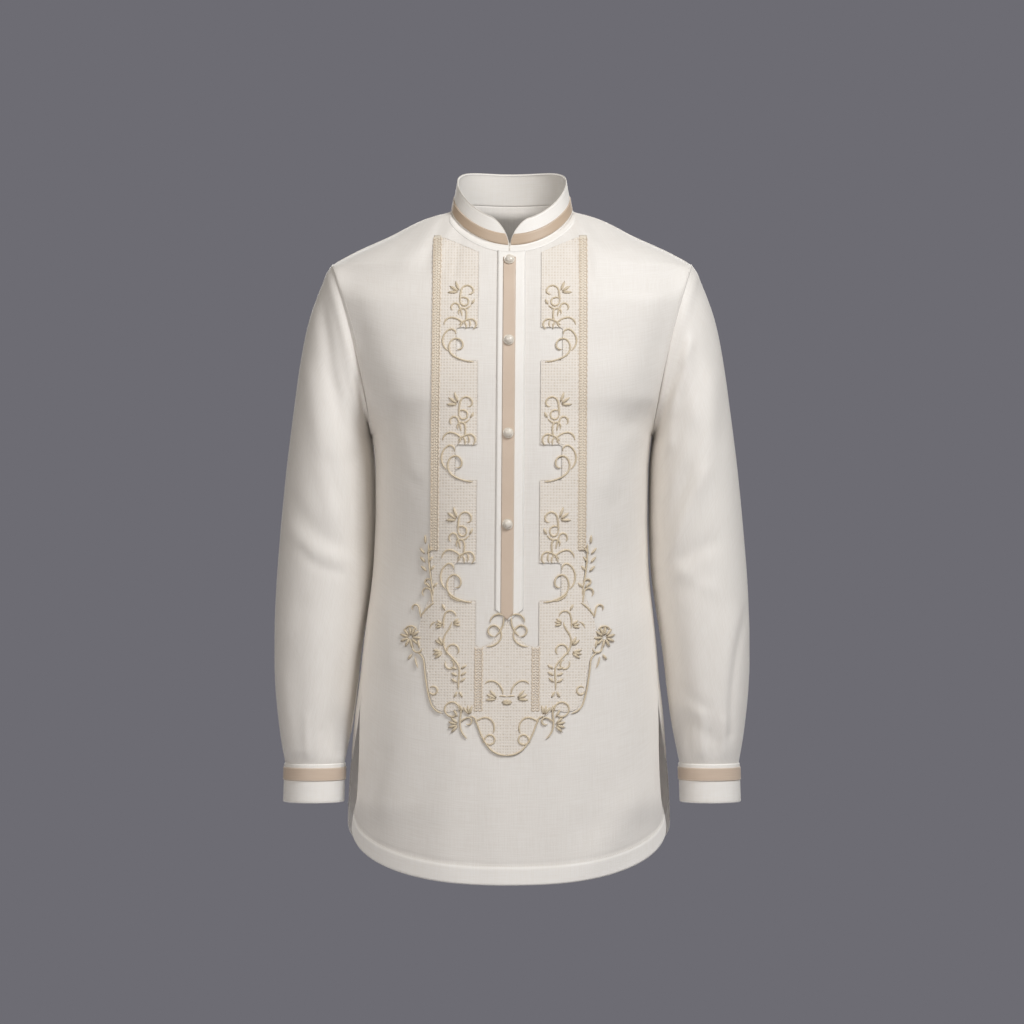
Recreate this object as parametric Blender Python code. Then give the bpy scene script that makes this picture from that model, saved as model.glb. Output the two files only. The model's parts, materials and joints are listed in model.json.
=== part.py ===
"""A barong tagalog: the long-sleeved formal shirt of the Philippines, worn loose over the trousers.

The shirt keeps the hollow shape that it has when it is worn. +Z is up, the front faces -Y and the wearer's
left is +X. The origin lies on the middle plane, level with the two points where the shoulder seams meet
the neckline and 8 mm behind them. Every size below is in millimetres, and add_mesh turns them into metres.
"""

import math

import bpy
import numpy as np
from mathutils import Vector
from mathutils.bvhtree import BVHTree

MM = 0.001
SHARP_ANGLE = math.radians(50)  # edges sharper than this are shaded as edges

# Cloth
CLOTH = 1.5  # wall of the body and the sleeves
STIFFENED = 2.5  # wall of the collar and the cuffs, which hold an interlining
RIBBON = 0.6  # thickness of the sewn-on ribbon and braid
EMBROIDERY = 0.5  # thickness of the embroidered net ground
SEAM_GAP = 0.3  # between two pieces that are sewn together
LAID_GAP = 0.35  # between a piece and what it is sewn on top of

# Neckline: an oval ring that dips at the front and rises at the back
NECK_HALF_WIDTH = 70.8
NECK_SIDE_Y = -8.0
NECK_FRONT = 57.0  # from the side neck points forward to the centre front
NECK_BACK = 60.0  # and back to the centre back
NECK_FRONT_DROP = 45.0
NECK_BACK_RISE = 12.0

# Armhole: a tilted oval ring from the shoulder tip down to the underarm
SHOULDER_TIP = (212.4, -8.0, -63.7)
UNDERARM = (165.0, 0.0, -262.0)
ARMHOLE_HALF_DEPTH = 52.0
ARMHOLE_BOW = 5.0  # how far its middle curves in towards the neck
UNDERARM_LEAN = 4  # exponent that keeps the walls' leaning close to the underarm

# Hem: a shallow curve that rises to rounded corners at the side vents
HEM_CENTRE = -783.6
HEM_CORNER = -719.6
HEM_CURVE = 2.4  # exponent of the curve
HEM_BAND = 16.0  # the turned-up, doubled cloth
HEM_STEP = 1.2
HEM_EXTRA = 0.8
VENT_TOP = -610.0
VENT_OPENING = 6.0

# Shoulder seam
SHOULDER_WRAP = 4.0  # the back panel comes over the shoulder by this much before the seam
SHOULDER_WRAP_DEPTH = 8.0

# Grid of the two body panels
FRONT_COLUMNS = 26
BACK_COLUMNS = 24
SIDE_ROWS = 11
ARMHOLE_ROWS = 12
SHOULDER_ROWS = 5
CENTRE_AT_UNDERARM = -300.0  # height at the centre line of the row that ends at the underarm
CENTRE_AT_TIP = -135.0
ROW_CURVE = 1.5  # how slowly the rows of the chest climb from the centre line
QUARTER_ARC = 1.15  # length of a quarter of a flat oval, as a share of its diagonal
FOLD_TAPER = 1.6  # a fold fades past its ends over this many times its spread
FOLD_EDGE = 8  # exponent that keeps the folds off the panels' side boundaries
RING_SEGMENTS = 2 * ARMHOLE_ROWS
FOLDS_FROM_ARMHOLE = 4  # rings over which the sleeve's folds grow, and then fade before the cuff
FOLDS_TO_CUFF = 3
FOLD_SIDE = 0.7  # exponent that fades them at the sleeve's outer and inner sides

# Placket, ribbons and bands on the front panel
PLACKET_CENTRE = -2.6
PLACKET_WIDTH = 33.0
PLACKET_TOP = -30.0
PLACKET_BOTTOM = -467.0
PLACKET_THICKNESS = 1.0
PLACKET_RIBBON_WIDTH = 15.0
PLACKET_RIBBON_POINT = 11.0  # length of its pointed end
PLACKET_RIBBON_BOTTOM = -478.0
BRAID_CENTRE = 86.0
BRAID_WIDTH = 8.0
BRAID_TOP = -20.0
BRAID_BOTTOM = -400.0
CUTTER_FRONT_Y = -190.0  # the prism that cuts such a piece runs from in front of the chest to behind it
CUTTER_BACK_Y = -25.0

# Buttons
BUTTON_HEIGHTS = (-60.0, -155.6, -263.0, -367.8)
BUTTON_RADIUS = 5.9
BUTTON_EDGE = 1.6
BUTTON_DOME = 3.2
BUTTON_FOOT = 0.72  # radii of its foot and of the foot of its dome, as shares of its own
DOME_FOOT = 0.86
RIM_FROM = 0.45  # the rim is full width between these shares of the edge's height
RIM_TO = 0.8
CUFF_BUTTON_RADIUS = 5.0
CUFF_BUTTON_UP = 13.0  # above the cuff's lower edge
BUTTON_SEGMENTS = 16
DOME_RINGS = 4

# Collar
COLLAR_HEIGHT = 35.0  # at the sides and the back
COLLAR_FRONT_LESS = 4.5  # how much lower the stand is at the centre front
COLLAR_TOP_HALF_WIDTH = 64.3
COLLAR_TOP_Y = -6.9
COLLAR_TOP_HALF_DEPTH = 52.7
COLLAR_END_GAP = 2.6  # from the centre line to each front end
COLLAR_CORNER = 24.0  # width of the rounded front corner
COLLAR_CORNER_POWER = 2.1
COLLAR_CORNER_MOST = 0.985  # share of the rounding at which the end is cut off upright
COLLAR_END_TURN = math.radians(22)
COLLAR_END_COLUMNS = 6
COLLAR_END_CROWD = 1.5  # exponent that crowds those columns towards the end
COLLAR_END_STEP = math.radians(1.2)
COLLAR_STEP = math.radians(6)
COLLAR_RIBBON_LOW = 2.0
COLLAR_RIBBON_HIGH = 14.8
COLLAR_RIBBON_GAP = 4.1  # from the centre line to each end of its ribbon
COLLAR_END_HEIGHT = 1.2  # least height of a band at the stand's rounded ends
COLLAR_TRIM = 0.2  # how far a band stops below the stand's top edge

# Cuffs
CUFF_BOTTOM = -694.0
CUFF_PROUD = 1.0
CUFF_START = 236.0  # degrees round the ring where the cuff begins, at the outer back
CUFF_LIFT_START = 345  # degrees on from there where it starts to rise over its own beginning
CUFF_OVERLAP = 20  # degrees of itself that the buttoned end laps over
CUFF_COLUMNS = (0, 10, CUFF_OVERLAP + 1, *range(36, 360, 15), 360, 370, 360 + CUFF_OVERLAP)
CUFF_RIBBON_LOW = 26.0  # above the cuff's lower edge
CUFF_RIBBON_HIGH = 41.0


def table(columns, rows):
    """A short table as one array for each named column, in ascending order of the first column."""
    rows = sorted(rows)
    return {name: np.array([row[i] for row in rows], float) for i, name in enumerate(columns.split())}


# The shoulder line that shows from the front: height against half width
SHOULDER = table(
    "half_width height",
    ((70.8, 0.0), (100.5, -9.4), (139.6, -29.0), (178.8, -46.7), (212.4, -63.7)),
)

# Below the underarm: the half width of the shirt, and the edge of the front panel, which moves forward
# towards the hem as the back panel wraps round the side
SIDE = table(
    "height side edge edge_y",
    (
        (-262, 165.0, 165.0, 0),
        (-304, 161.0, 161.0, 0),
        (-355, 160.5, 160.4, -2),
        (-412, 162.0, 161.5, -12),
        (-447, 165.0, 163.5, -20),
        (-471, 168.0, 166.0, -26),
        (-505, 172.0, 169.0, -32),
        (-552, 176.5, 172.5, -38),
        (-587, 181.0, 175.0, -42),
        (-627, 184.5, 177.0, -45),
        (-649, 186.0, 178.0, -46),
        (-715, 189.0, 179.0, -48),
        (-790, 190.0, 180.0, -49),
    ),
)

# The horizontal sections of each panel are superellipses: their depth at the centre line, how flat they
# are across the middle, and how round they turn at the side
FRONT = table(
    "height depth flat round",
    (
        (0, 20, 2.3, 1.8),
        (-45, 65, 2.3, 1.75),
        (-62, 75, 2.3, 1.7),
        (-100, 94, 2.3, 1.5),
        (-150, 107, 2.4, 1.38),
        (-200, 116, 2.7, 1.55),
        (-235, 119, 3.0, 1.8),
        (-262, 121, 3.3, 2.1),
        (-304, 122, 3.1, 1.95),
        (-355, 122, 2.75, 1.65),
        (-412, 121, 2.5, 1.42),
        (-500, 121, 2.4, 1.25),
        (-600, 122, 2.35, 1.12),
        (-700, 124, 2.3, 1.06),
        (-790, 125, 2.3, 1.05),
    ),
)
BACK = table(
    "height depth flat round",
    (
        (20, 52, 2.0, 2.0),
        (0, 52, 2.0, 2.0),
        (-12, 60, 2.1, 1.95),
        (-30, 73, 2.2, 1.85),
        (-64, 92, 2.3, 1.7),
        (-100, 104, 2.35, 1.52),
        (-150, 114, 2.5, 1.42),
        (-200, 119, 2.8, 1.6),
        (-235, 120, 3.05, 1.85),
        (-262, 120, 3.35, 2.15),
        (-304, 118, 3.2, 2.05),
        (-355, 114, 2.9, 1.9),
        (-412, 111, 2.65, 1.8),
        (-500, 113, 2.5, 1.8),
        (-600, 118, 2.4, 1.8),
        (-700, 122, 2.4, 1.8),
        (-790, 124, 2.4, 1.8),
    ),
)

# The rings of the sleeve: its outermost and innermost point, half its depth, and the y of its middle
SLEEVE = table(
    "ring out_z out_x in_z in_x half_depth mid_y",
    (
        (1, -80, 221.0, -265.0, 165.8, 53.5, -3),
        (2, -100, 229.5, -268.5, 166.4, 55.0, -2),
        (3, -125, 238.5, -273.0, 166.7, 57.0, -1),
        (4, -155, 245.0, -279.0, 166.6, 59.0, 0),
        (5, -190, 250.5, -287.0, 166.0, 61.0, 0),
        (6, -228, 256.0, -299.0, 165.0, 62.5, 0),
        (7, -266, 261.3, -315.0, 164.0, 63.5, 0),
        (8, -305, 266.0, -336.0, 163.4, 64.0, 0),
        (9, -345, 270.0, -364.0, 163.6, 64.0, -1),
        (10, -385, 273.5, -396.0, 165.4, 63.5, -2),
        (11, -425, 276.6, -430.0, 168.2, 62.0, -4),
        (12, -460, 278.5, -462.0, 171.2, 60.5, -6),
        (13, -495, 279.5, -496.0, 174.8, 58.5, -9),
        (14, -529, 279.5, -529.0, 178.5, 56.0, -11),
        (15, -556, 278.4, -556.0, 181.4, 53.0, -13),
        (16, -580, 276.4, -580.0, 184.3, 50.0, -15),
        (17, -601, 274.0, -601.0, 187.4, 47.5, -16),
        (18, -620, 271.4, -620.0, 190.8, 44.5, -17),
        (19, -635, 268.8, -635.0, 193.8, 41.5, -18),
        (20, -648, 266.5, -648.0, 196.4, 38.0, -18),
    ),
)
CUFF = table(
    "height out_x in_x half_depth mid_y",
    ((-694, 268.0, 198.0, 37.5, -18), (-648, 266.5, 196.4, 38.0, -18)),
)

# Folds are soft ridges, or troughs where the rise is negative, along a line in the front view from
# (x0, z0) to (x1, z1): how wide they spread to each side, and how far they rise
FRONT_FOLDS = (
    (-92, -25, -120, -58, 12, 2.5),
    (82, -22, 108, -50, 12, 2.5),
    (-190, -110, -158, -205, 16, -3.0),
    (190, -105, 158, -200, 16, -3.0),
    (150, -690, 104, -745, 22, 4.0),
    (-120, -560, -150, -700, 26, 3.0),
    (118, -500, 140, -660, 26, 2.5),
)
BACK_FOLDS = (
    (-104, -330, -128, -740, 27, 7.0),
    (-58, -410, -66, -760, 24, -6.0),
    (-18, -300, -14, -765, 26, 6.5),
    (34, -420, 36, -760, 23, -6.0),
    (84, -350, 92, -750, 27, 7.5),
    (128, -470, 140, -730, 22, -5.0),
    (-152, -480, -160, -720, 20, -4.0),
)
SLEEVE_FRONT_FOLDS = (
    (-225, -250, -205, -335, 18, 4.5),
    (-252, -352, -198, -392, 15, -3.5),
    (-258, -374, -192, -412, 16, 4.5),
    (-267, -561, -262, -630, 12, 3.5),
    (226, -240, 206, -330, 18, 4.5),
    (214, -318, 176, -378, 15, -3.5),
    (206, -384, 243, -420, 16, 4.5),
    (176, -437, 206, -454, 14, -3.5),
    (262, -490, 252, -612, 14, 3.5),
)
SLEEVE_BACK_FOLDS = (
    (-240, -120, -205, -250, 18, 4.5),
    (-250, -380, -200, -402, 16, -4.0),
    (-254, -414, -208, -436, 16, 4.0),
    (-228, -560, -232, -640, 11, 5.0),
    (240, -118, 206, -255, 18, 4.5),
    (252, -378, 202, -404, 16, -4.0),
    (256, -410, 210, -438, 16, 4.0),
    (230, -556, 234, -640, 11, 5.0),
)

# The embroidered breast panel, the pechera, over the wearer's left half: a notched band beside the
# placket, and below it a flare whose outline runs from the braid's end to the bottom of the medallion
BAND_INNER = 38.5
BAND_OUTER = 81.5
BAND_TOP = -24.0
BAND_TOP_SLOPE = 8.0
MEDALLION_TOP = -482.0
MEDALLION_SHOULDER = 14.0  # half width of its flat top, under the ribbon's point
MEDALLION_SLOPE = 20.0
NOTCH_TOP = -141.0  # the first notch of plain cloth inside a scroll, and the step down to the next two
NOTCH_HEIGHT = 38.0
NOTCH_PITCH = 132.5
NOTCH_COUNT = 3
NOTCH_DEPTH = 25.0
PECHERA = table(
    "step x height",
    (
        (0, 98, -404),
        (1, 111, -432),
        (2, 121, -474),
        (3, 122, -502),
        (4, 112, -530),
        (5, 104, -562),
        (6, 90, -590),
        (7, 66, -604),
        (8, 46, -592),
        (9, 34, -604),
        (10, 22, -628),
        (11, 0, -637),
    ),
)


def smooth(tab, column, at):
    """Read a column at places along the table's first column, on a curve that never overshoots its rows."""
    keys, values = next(iter(tab.values())), tab[column]
    step = np.diff(keys)
    slope = np.diff(values) / step
    tangent = np.concatenate([slope[:1], np.zeros(len(slope) - 1), slope[-1:]])
    for i in range(1, len(slope)):
        if slope[i - 1] * slope[i] > 0:
            tangent[i] = 2 * slope[i - 1] * slope[i] / (slope[i - 1] + slope[i])
    at = np.clip(at, keys[0], keys[-1])
    i = np.clip(np.searchsorted(keys, at) - 1, 0, len(step) - 1)
    s = (at - keys[i]) / step[i]
    bend = tangent[i] * (s - 2 * s**2 + s**3) + tangent[i + 1] * (s**3 - s**2)
    return values[i] + (values[i + 1] - values[i]) * (3 * s**2 - 2 * s**3) + step[i] * bend


def ease(s):
    s = min(max(s, 0.0), 1.0)
    return s * s * (3 - 2 * s)


def unit(v):
    length = np.linalg.norm(v, axis=-1, keepdims=True)
    return v / np.maximum(length, 1e-9)


# The neckline's height is a quadratic in y through its front, side and back points
NECK_BEND = (NECK_BACK_RISE / NECK_BACK - NECK_FRONT_DROP / NECK_FRONT) / (NECK_BACK + NECK_FRONT)
NECK_SLOPE = NECK_BACK_RISE / NECK_BACK - NECK_BACK * NECK_BEND


def neck_point(turn):
    """The neckline at an angle: 0 at the centre front, a quarter turn at the left, pi at the centre back."""
    reach = NECK_FRONT if math.cos(turn) > 0 else NECK_BACK
    y = -reach * math.cos(turn)
    return np.array([NECK_HALF_WIDTH * math.sin(turn), NECK_SIDE_Y + y, NECK_SLOPE * y + NECK_BEND * y * y])


def armhole_point(turn):
    """The armhole of the wearer's left: 0 at the shoulder tip, a quarter turn at the front, pi underarm."""
    top, bottom = np.array(SHOULDER_TIP), np.array(UNDERARM)
    point = (top + bottom) / 2 + (top - bottom) / 2 * math.cos(turn)
    point[0] -= ARMHOLE_BOW * math.sin(turn) ** 2
    point[1] -= ARMHOLE_HALF_DEPTH * math.sin(turn)
    return point


def armhole_inward(turn):
    """The direction from the armhole's ring towards its middle."""
    top, bottom = np.array(SHOULDER_TIP), np.array(UNDERARM)
    long_way = (top - bottom) / 2
    across = np.array([0, ARMHOLE_HALF_DEPTH, 0])
    down = -long_way / long_way.dot(long_way)
    back = across / across.dot(across)
    return unit(down * math.cos(turn) + back * math.sin(turn))


def panel_edge(height, back):
    """Where the side boundary of a panel lies at a height: shoulder seam, armhole, then side seam."""
    if height >= 0:
        return NECK_HALF_WIDTH, NECK_SIDE_Y
    if height >= SHOULDER_TIP[2]:
        widths = {"height": -SHOULDER["height"], "half_width": SHOULDER["half_width"]}
        return float(smooth(widths, "half_width", -height)), NECK_SIDE_Y
    if height >= UNDERARM[2]:
        half = (SHOULDER_TIP[2] - UNDERARM[2]) / 2
        turn = math.acos(min(max((height - UNDERARM[2]) / half - 1, -1), 1))
        point = armhole_point(-turn if back else turn)
        return point[0], point[1]
    edge_y = float(smooth(SIDE, "edge_y", height))
    if back:
        edge_y += VENT_OPENING * ease((VENT_TOP - height) / (VENT_TOP - HEM_CORNER))
    return float(smooth(SIDE, "edge", height)), edge_y


def fold_rise(folds, x, z):
    """How far the folds lift the cloth at a point of the front view."""
    rise = 0.0
    for x0, z0, x1, z1, spread, height in folds:
        along = np.array([x1 - x0, z1 - z0])
        length = np.linalg.norm(along)
        along = along / length
        down = (x - x0) * along[0] + (z - z0) * along[1]
        off = (x - x0) * along[1] - (z - z0) * along[0]
        past = max(-down, down - length, 0.0)
        rise += height * math.exp(-((off / spread) ** 2) - (past / (FOLD_TAPER * spread)) ** 2)
    return rise


def front_point(across, height):
    """The front panel's outer face, from -1 at the right side boundary to 1 at the left."""
    edge, edge_y = panel_edge(height, False)
    flat = float(smooth(FRONT, "flat", height))
    round_ = float(smooth(FRONT, "round", height))
    depth = float(smooth(FRONT, "depth", height)) + edge_y
    if height > -NECK_FRONT_DROP:
        drop = NECK_SLOPE**2 + 4 * NECK_BEND * height
        y = (math.sqrt(drop) - NECK_SLOPE) / (2 * NECK_BEND)
        x = NECK_HALF_WIDTH * math.sqrt(max(0.0, 1 - (y / NECK_FRONT) ** 2))
        fall = max(1e-9, 1 - (x / edge) ** flat)
        depth = -y / fall ** (1 / round_)
    s = math.sin(abs(across) * math.pi / 2)
    x = math.copysign(edge * s, across)
    y = edge_y - depth * max(0.0, 1 - s**flat) ** (1 / round_)
    return np.array([x, y - fold_rise(FRONT_FOLDS, x, height) * (1 - abs(across) ** FOLD_EDGE), height])


def side_of_back(height):
    """The widest point of the back panel's section, where it starts to wrap round to the front."""
    edge, edge_y = panel_edge(height, True)
    if height >= 0 or UNDERARM[2] <= height < SHOULDER_TIP[2]:
        return edge, edge_y
    if height > SHOULDER_TIP[2]:
        along = (edge - NECK_HALF_WIDTH) / (SHOULDER_TIP[0] - NECK_HALF_WIDTH)
        wrap = 1 - (2 * along - 1) ** 4
        return edge + SHOULDER_WRAP * wrap, edge_y + SHOULDER_WRAP_DEPTH * wrap
    return float(smooth(SIDE, "side", height)), 0.0


def back_point(across, height):
    """The back panel's outer face, from -1 at the right side boundary to 1 at the left."""
    edge, edge_y = panel_edge(height, True)
    side, side_y = side_of_back(height)
    flat = float(smooth(BACK, "flat", height))
    round_ = float(smooth(BACK, "round", height))
    depth = float(smooth(BACK, "depth", height)) - side_y
    main = QUARTER_ARC * math.hypot(side, depth)
    wrapped = math.hypot(side - edge, side_y - edge_y)
    share = main / (main + wrapped)
    far = abs(across)
    if far <= share:
        s = math.sin(far / share * math.pi / 2)
        x, y = side * s, side_y + depth * max(0.0, 1 - s**flat) ** (1 / round_)
    else:
        s = (far - share) / (1 - share)
        x, y = side - (side - edge) * s * s, side_y + (edge_y - side_y) * s
    x = math.copysign(x, across)
    return np.array([x, y + fold_rise(BACK_FOLDS, x, height) * (1 - far**FOLD_EDGE), height])


def neckline_turn(across, back):
    """The angle round the neckline at which a panel's grid line meets it."""
    s = math.sin(abs(across) * math.pi / 2)
    if back:
        return math.pi - math.asin(s)
    low, high = 0.0, math.pi / 2
    for _ in range(40):
        turn = (low + high) / 2
        point = neck_point(turn)
        edge, _y = panel_edge(min(point[2], -1e-6), False)
        if point[0] / edge < s:
            low = turn
        else:
            high = turn
    return low


def neckline_share(across, back):
    """How high the neckline has climbed from its centre towards the side neck point, from 0 to 1."""
    height = neck_point(neckline_turn(across, back))[2]
    if back:
        return (NECK_BACK_RISE - height) / NECK_BACK_RISE
    return 1 + height / NECK_FRONT_DROP


def hem_share(across):
    """How high the hem has climbed from its centre towards the corner, from 0 to 1."""
    s = math.sin(abs(across) * math.pi / 2)
    return 1 - max(0.0, 1 - s**HEM_CURVE) ** (1 / HEM_CURVE)


def middle_share(across):
    """How high a row of the chest has climbed from its centre towards the side boundary, from 0 to 1."""
    return math.sin(abs(across) * math.pi / 2) ** ROW_CURVE


def panel_rows(neck_height):
    """The rows of a body panel: height at the centre line, at the side boundary, and how far up it is."""
    rows = [(HEM_CENTRE + up, HEM_CORNER + up) for up in (0, HEM_BAND)]
    start = HEM_BAND + HEM_STEP
    for i in range(SIDE_ROWS + 1):
        s = i / SIDE_ROWS
        centre = HEM_CENTRE + start + (CENTRE_AT_UNDERARM - HEM_CENTRE - start) * s
        rows.append((centre, HEM_CORNER + start + (UNDERARM[2] - HEM_CORNER - start) * s))
    for i in range(1, ARMHOLE_ROWS + 1):
        s = i / ARMHOLE_ROWS
        centre = CENTRE_AT_UNDERARM + (CENTRE_AT_TIP - CENTRE_AT_UNDERARM) * s
        rows.append((centre, armhole_point(math.pi * (1 - s))[2]))
    for i in range(1, SHOULDER_ROWS + 1):
        s = i / SHOULDER_ROWS
        width = SHOULDER_TIP[0] + (NECK_HALF_WIDTH - SHOULDER_TIP[0]) * s
        centre = CENTRE_AT_TIP + (neck_height - CENTRE_AT_TIP) * s
        rows.append((centre, float(smooth(SHOULDER, "height", width))))
    return rows


UNDERARM_ROW = 2 + SIDE_ROWS
TIP_ROW = UNDERARM_ROW + ARMHOLE_ROWS


def panel_grid(point, columns, back):
    """The outer face of a body panel as a grid of points, rows from the hem up."""
    neck_height = NECK_BACK_RISE if back else -NECK_FRONT_DROP
    rows = panel_rows(neck_height)
    grid = np.zeros((len(rows), columns + 1, 3))
    for i, (centre, side) in enumerate(rows):
        chest = ease((i - 2) / (UNDERARM_ROW - 2))
        neck = ease((i - TIP_ROW) / SHOULDER_ROWS)
        for j in range(columns + 1):
            across = 2 * j / columns - 1
            share = (1 - chest) * hem_share(across) + chest * (1 - neck) * middle_share(across)
            share += neck * neckline_share(across, back)
            grid[i, j] = point(across, centre + (side - centre) * share)
    return grid


def grid_normals(grid, closed=False):
    """The outward direction at each point of a grid, from its neighbours."""
    middle = grid.mean(axis=1, keepdims=True)
    if closed:
        across = np.roll(grid, -1, axis=1) - np.roll(grid, 1, axis=1)
    else:
        across = np.gradient(grid, axis=1)
        middle = middle * (1, 0, 1)
    up = np.gradient(grid, axis=0)
    normals = unit(np.cross(across, up))
    outward = np.sum(normals * (grid - middle), axis=-1).mean()
    return normals if outward > 0 else -normals


def open_seams(grid):
    """Draw the side boundary of a panel back by half the seam gap."""
    grid = grid.copy()
    for edge, beside in ((0, 1), (-1, -2)):
        grid[:, edge] += unit(grid[:, beside] - grid[:, edge]) * SEAM_GAP / 2
    return grid


def add_mesh(name, points, faces, material):
    """A mesh object from points in millimetres, with its faces turned outwards."""
    points = np.asarray(points, float)
    corners = [points[[f[0], f[i], f[i + 1]]] for f in faces for i in range(1, len(f) - 1)]
    volume = sum(np.dot(c[0], np.cross(c[1], c[2])) for c in corners)
    if volume < 0:
        faces = [tuple(reversed(f)) for f in faces]
    mesh = bpy.data.meshes.new(name)
    mesh.from_pydata((points * MM).tolist(), [], faces)
    mesh.materials.append(material)
    mesh.shade_smooth()
    mesh.set_sharp_from_angle(angle=SHARP_ANGLE)
    obj = bpy.data.objects.new(name, mesh)
    bpy.context.collection.objects.link(obj)
    return obj


def wall(outer, inner, closed=False):
    """The closed skin between two grids of points: both faces, and the rims that join their borders."""
    rows, columns = outer.shape[:2]
    points = np.concatenate([outer.reshape(-1, 3), inner.reshape(-1, 3)])
    half = rows * columns

    def at(i, j, side):
        return side * half + i * columns + j % columns

    faces = []
    spans = columns if closed else columns - 1
    for i in range(rows - 1):
        for j in range(spans):
            for side in (0, 1):
                a, b = at(i, j, side), at(i, j + 1, side)
                c, d = at(i + 1, j + 1, side), at(i + 1, j, side)
                pair = ((a, b, c), (a, c, d)) if side == 0 else ((c, b, a), (d, c, a))
                faces.extend(pair)
    for j in range(spans):
        faces.append((at(0, j + 1, 0), at(0, j, 0), at(0, j, 1), at(0, j + 1, 1)))
        last = rows - 1
        faces.append((at(last, j, 0), at(last, j + 1, 0), at(last, j + 1, 1), at(last, j, 1)))
    if not closed:
        for i in range(rows - 1):
            faces.append((at(i, 0, 0), at(i + 1, 0, 0), at(i + 1, 0, 1), at(i, 0, 1)))
            last = columns - 1
            faces.append((at(i + 1, last, 0), at(i, last, 0), at(i, last, 1), at(i + 1, last, 1)))
    return points, faces


def underarm_lean(turn):
    """How far the wall at the armhole leans to follow the cloth, from 0 at the shoulder to 1 underarm."""
    return math.sin(turn / 2) ** UNDERARM_LEAN


def body_walls():
    """Both body panels: outer grid, outward directions and inner grid, with shared directions at seams."""
    front = panel_grid(front_point, FRONT_COLUMNS, False)
    back = panel_grid(back_point, BACK_COLUMNS, True)
    normals = [grid_normals(front), grid_normals(back)]
    for edge, flip in ((0, -1), (-1, 1)):
        shared = unit(normals[0][:, edge] + normals[1][:, edge])
        for turn_sign, panel in ((1, normals[0]), (-1, normals[1])):
            for i in range(len(shared)):
                if i <= UNDERARM_ROW or i >= TIP_ROW:
                    panel[i, edge] = shared[i]
                if UNDERARM_ROW <= i <= TIP_ROW:
                    turn = math.pi * (TIP_ROW - i) / ARMHOLE_ROWS
                    inward = armhole_inward(turn_sign * turn) * (flip, 1, 1)
                    panel[i, edge] = unit(-inward + underarm_lean(turn) * panel[i, edge])
    walls = []
    for grid, out in ((open_seams(front), normals[0]), (open_seams(back), normals[1])):
        inner = grid - out * CLOTH
        grid[:2] += out[:2] * HEM_EXTRA
        walls.append((grid, out, inner))
    return walls


def ring_point(outermost, innermost, half_depth, mid_y, turn, thinner=0.0):
    """A point of a tube's ring: 0 at its outer side, a quarter turn at the front, pi at its inner side."""
    out, inn = np.array(outermost, float), np.array(innermost, float)
    half = (out - inn) / 2
    shrink = 1 - thinner / np.linalg.norm(half)
    point = (out + inn) / 2 + half * shrink * math.cos(turn)
    point[1] += mid_y - (half_depth - thinner) * math.sin(turn)
    return point


def sleeve_grids(side):
    """The outer and inner faces of a sleeve, rows from the armhole to the wrist, for side 1 or -1."""
    turns = [2 * math.pi * k / RING_SEGMENTS for k in range(RING_SEGMENTS)]
    rings = [[armhole_point(turn) for turn in turns]]
    for i in range(len(SLEEVE["ring"])):
        row = {name: values[i] for name, values in SLEEVE.items()}
        out, inn = (row["out_x"], 0, row["out_z"]), (row["in_x"], 0, row["in_z"])
        rings.append([ring_point(out, inn, row["half_depth"], row["mid_y"], turn) for turn in turns])
    grid = np.array(rings) * (side, 1, 1)
    out = grid_normals(grid, closed=True)
    for i in range(1, len(grid)):
        for k, turn in enumerate(turns):
            x, _y, z = grid[i, k]
            facing = math.sin(turn)
            folds = SLEEVE_FRONT_FOLDS if facing > 0 else SLEEVE_BACK_FOLDS
            fade = ease(i / FOLDS_FROM_ARMHOLE) * ease((len(grid) - 1 - i) / FOLDS_TO_CUFF)
            grid[i, k] += out[i, k] * fold_rise(folds, x, z) * abs(facing) ** FOLD_SIDE * fade
    for k, turn in enumerate(turns):
        out[0, k] = unit(-armhole_inward(turn) * (side, 1, 1) + underarm_lean(turn) * out[0, k])
    inner = grid - out * CLOTH
    start = unit(grid[1] - grid[0]) * SEAM_GAP / 2
    grid[0] += start
    inner[0] += start
    return grid, inner


def cuff_ring(side, height, turn, proud):
    row = {name: float(smooth(CUFF, name, height)) for name in ("out_x", "in_x", "half_depth", "mid_y")}
    out, inn = (row["out_x"], 0, height), (row["in_x"], 0, height)
    return ring_point(out, inn, row["half_depth"], row["mid_y"], turn, -proud) * (side, 1, 1)


def cuff_strip(side, low, high, near, far, first):
    """A band round the wrist between two heights, from its first angle until it laps over its own start."""
    degrees = [d for d in CUFF_COLUMNS if d >= first]
    faces = []
    for proud in (far, near):
        rows = []
        for height in (low, high):
            ring = []
            for turned in degrees:
                lift = (STIFFENED + LAID_GAP) * ease((turned - CUFF_LIFT_START) / (360 - CUFF_LIFT_START))
                turn = math.radians(CUFF_START + turned)
                ring.append(cuff_ring(side, height, turn, proud + lift))
            rows.append(ring)
        faces.append(np.array(rows))
    return wall(faces[0], faces[1])


def collar_height(turn):
    """The stand's height at an angle round the neck, less at its rounded front ends."""
    x = NECK_HALF_WIDTH * abs(math.sin(turn)) - COLLAR_END_GAP
    full = COLLAR_HEIGHT - COLLAR_FRONT_LESS * max(math.cos(turn), 0.0)
    if math.cos(turn) < 0 or x > COLLAR_CORNER:
        return full
    left = min(max(1 - x / COLLAR_CORNER, 0.0), COLLAR_CORNER_MOST)
    return full * (1 - left**COLLAR_CORNER_POWER) ** (1 / COLLAR_CORNER_POWER)


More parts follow.
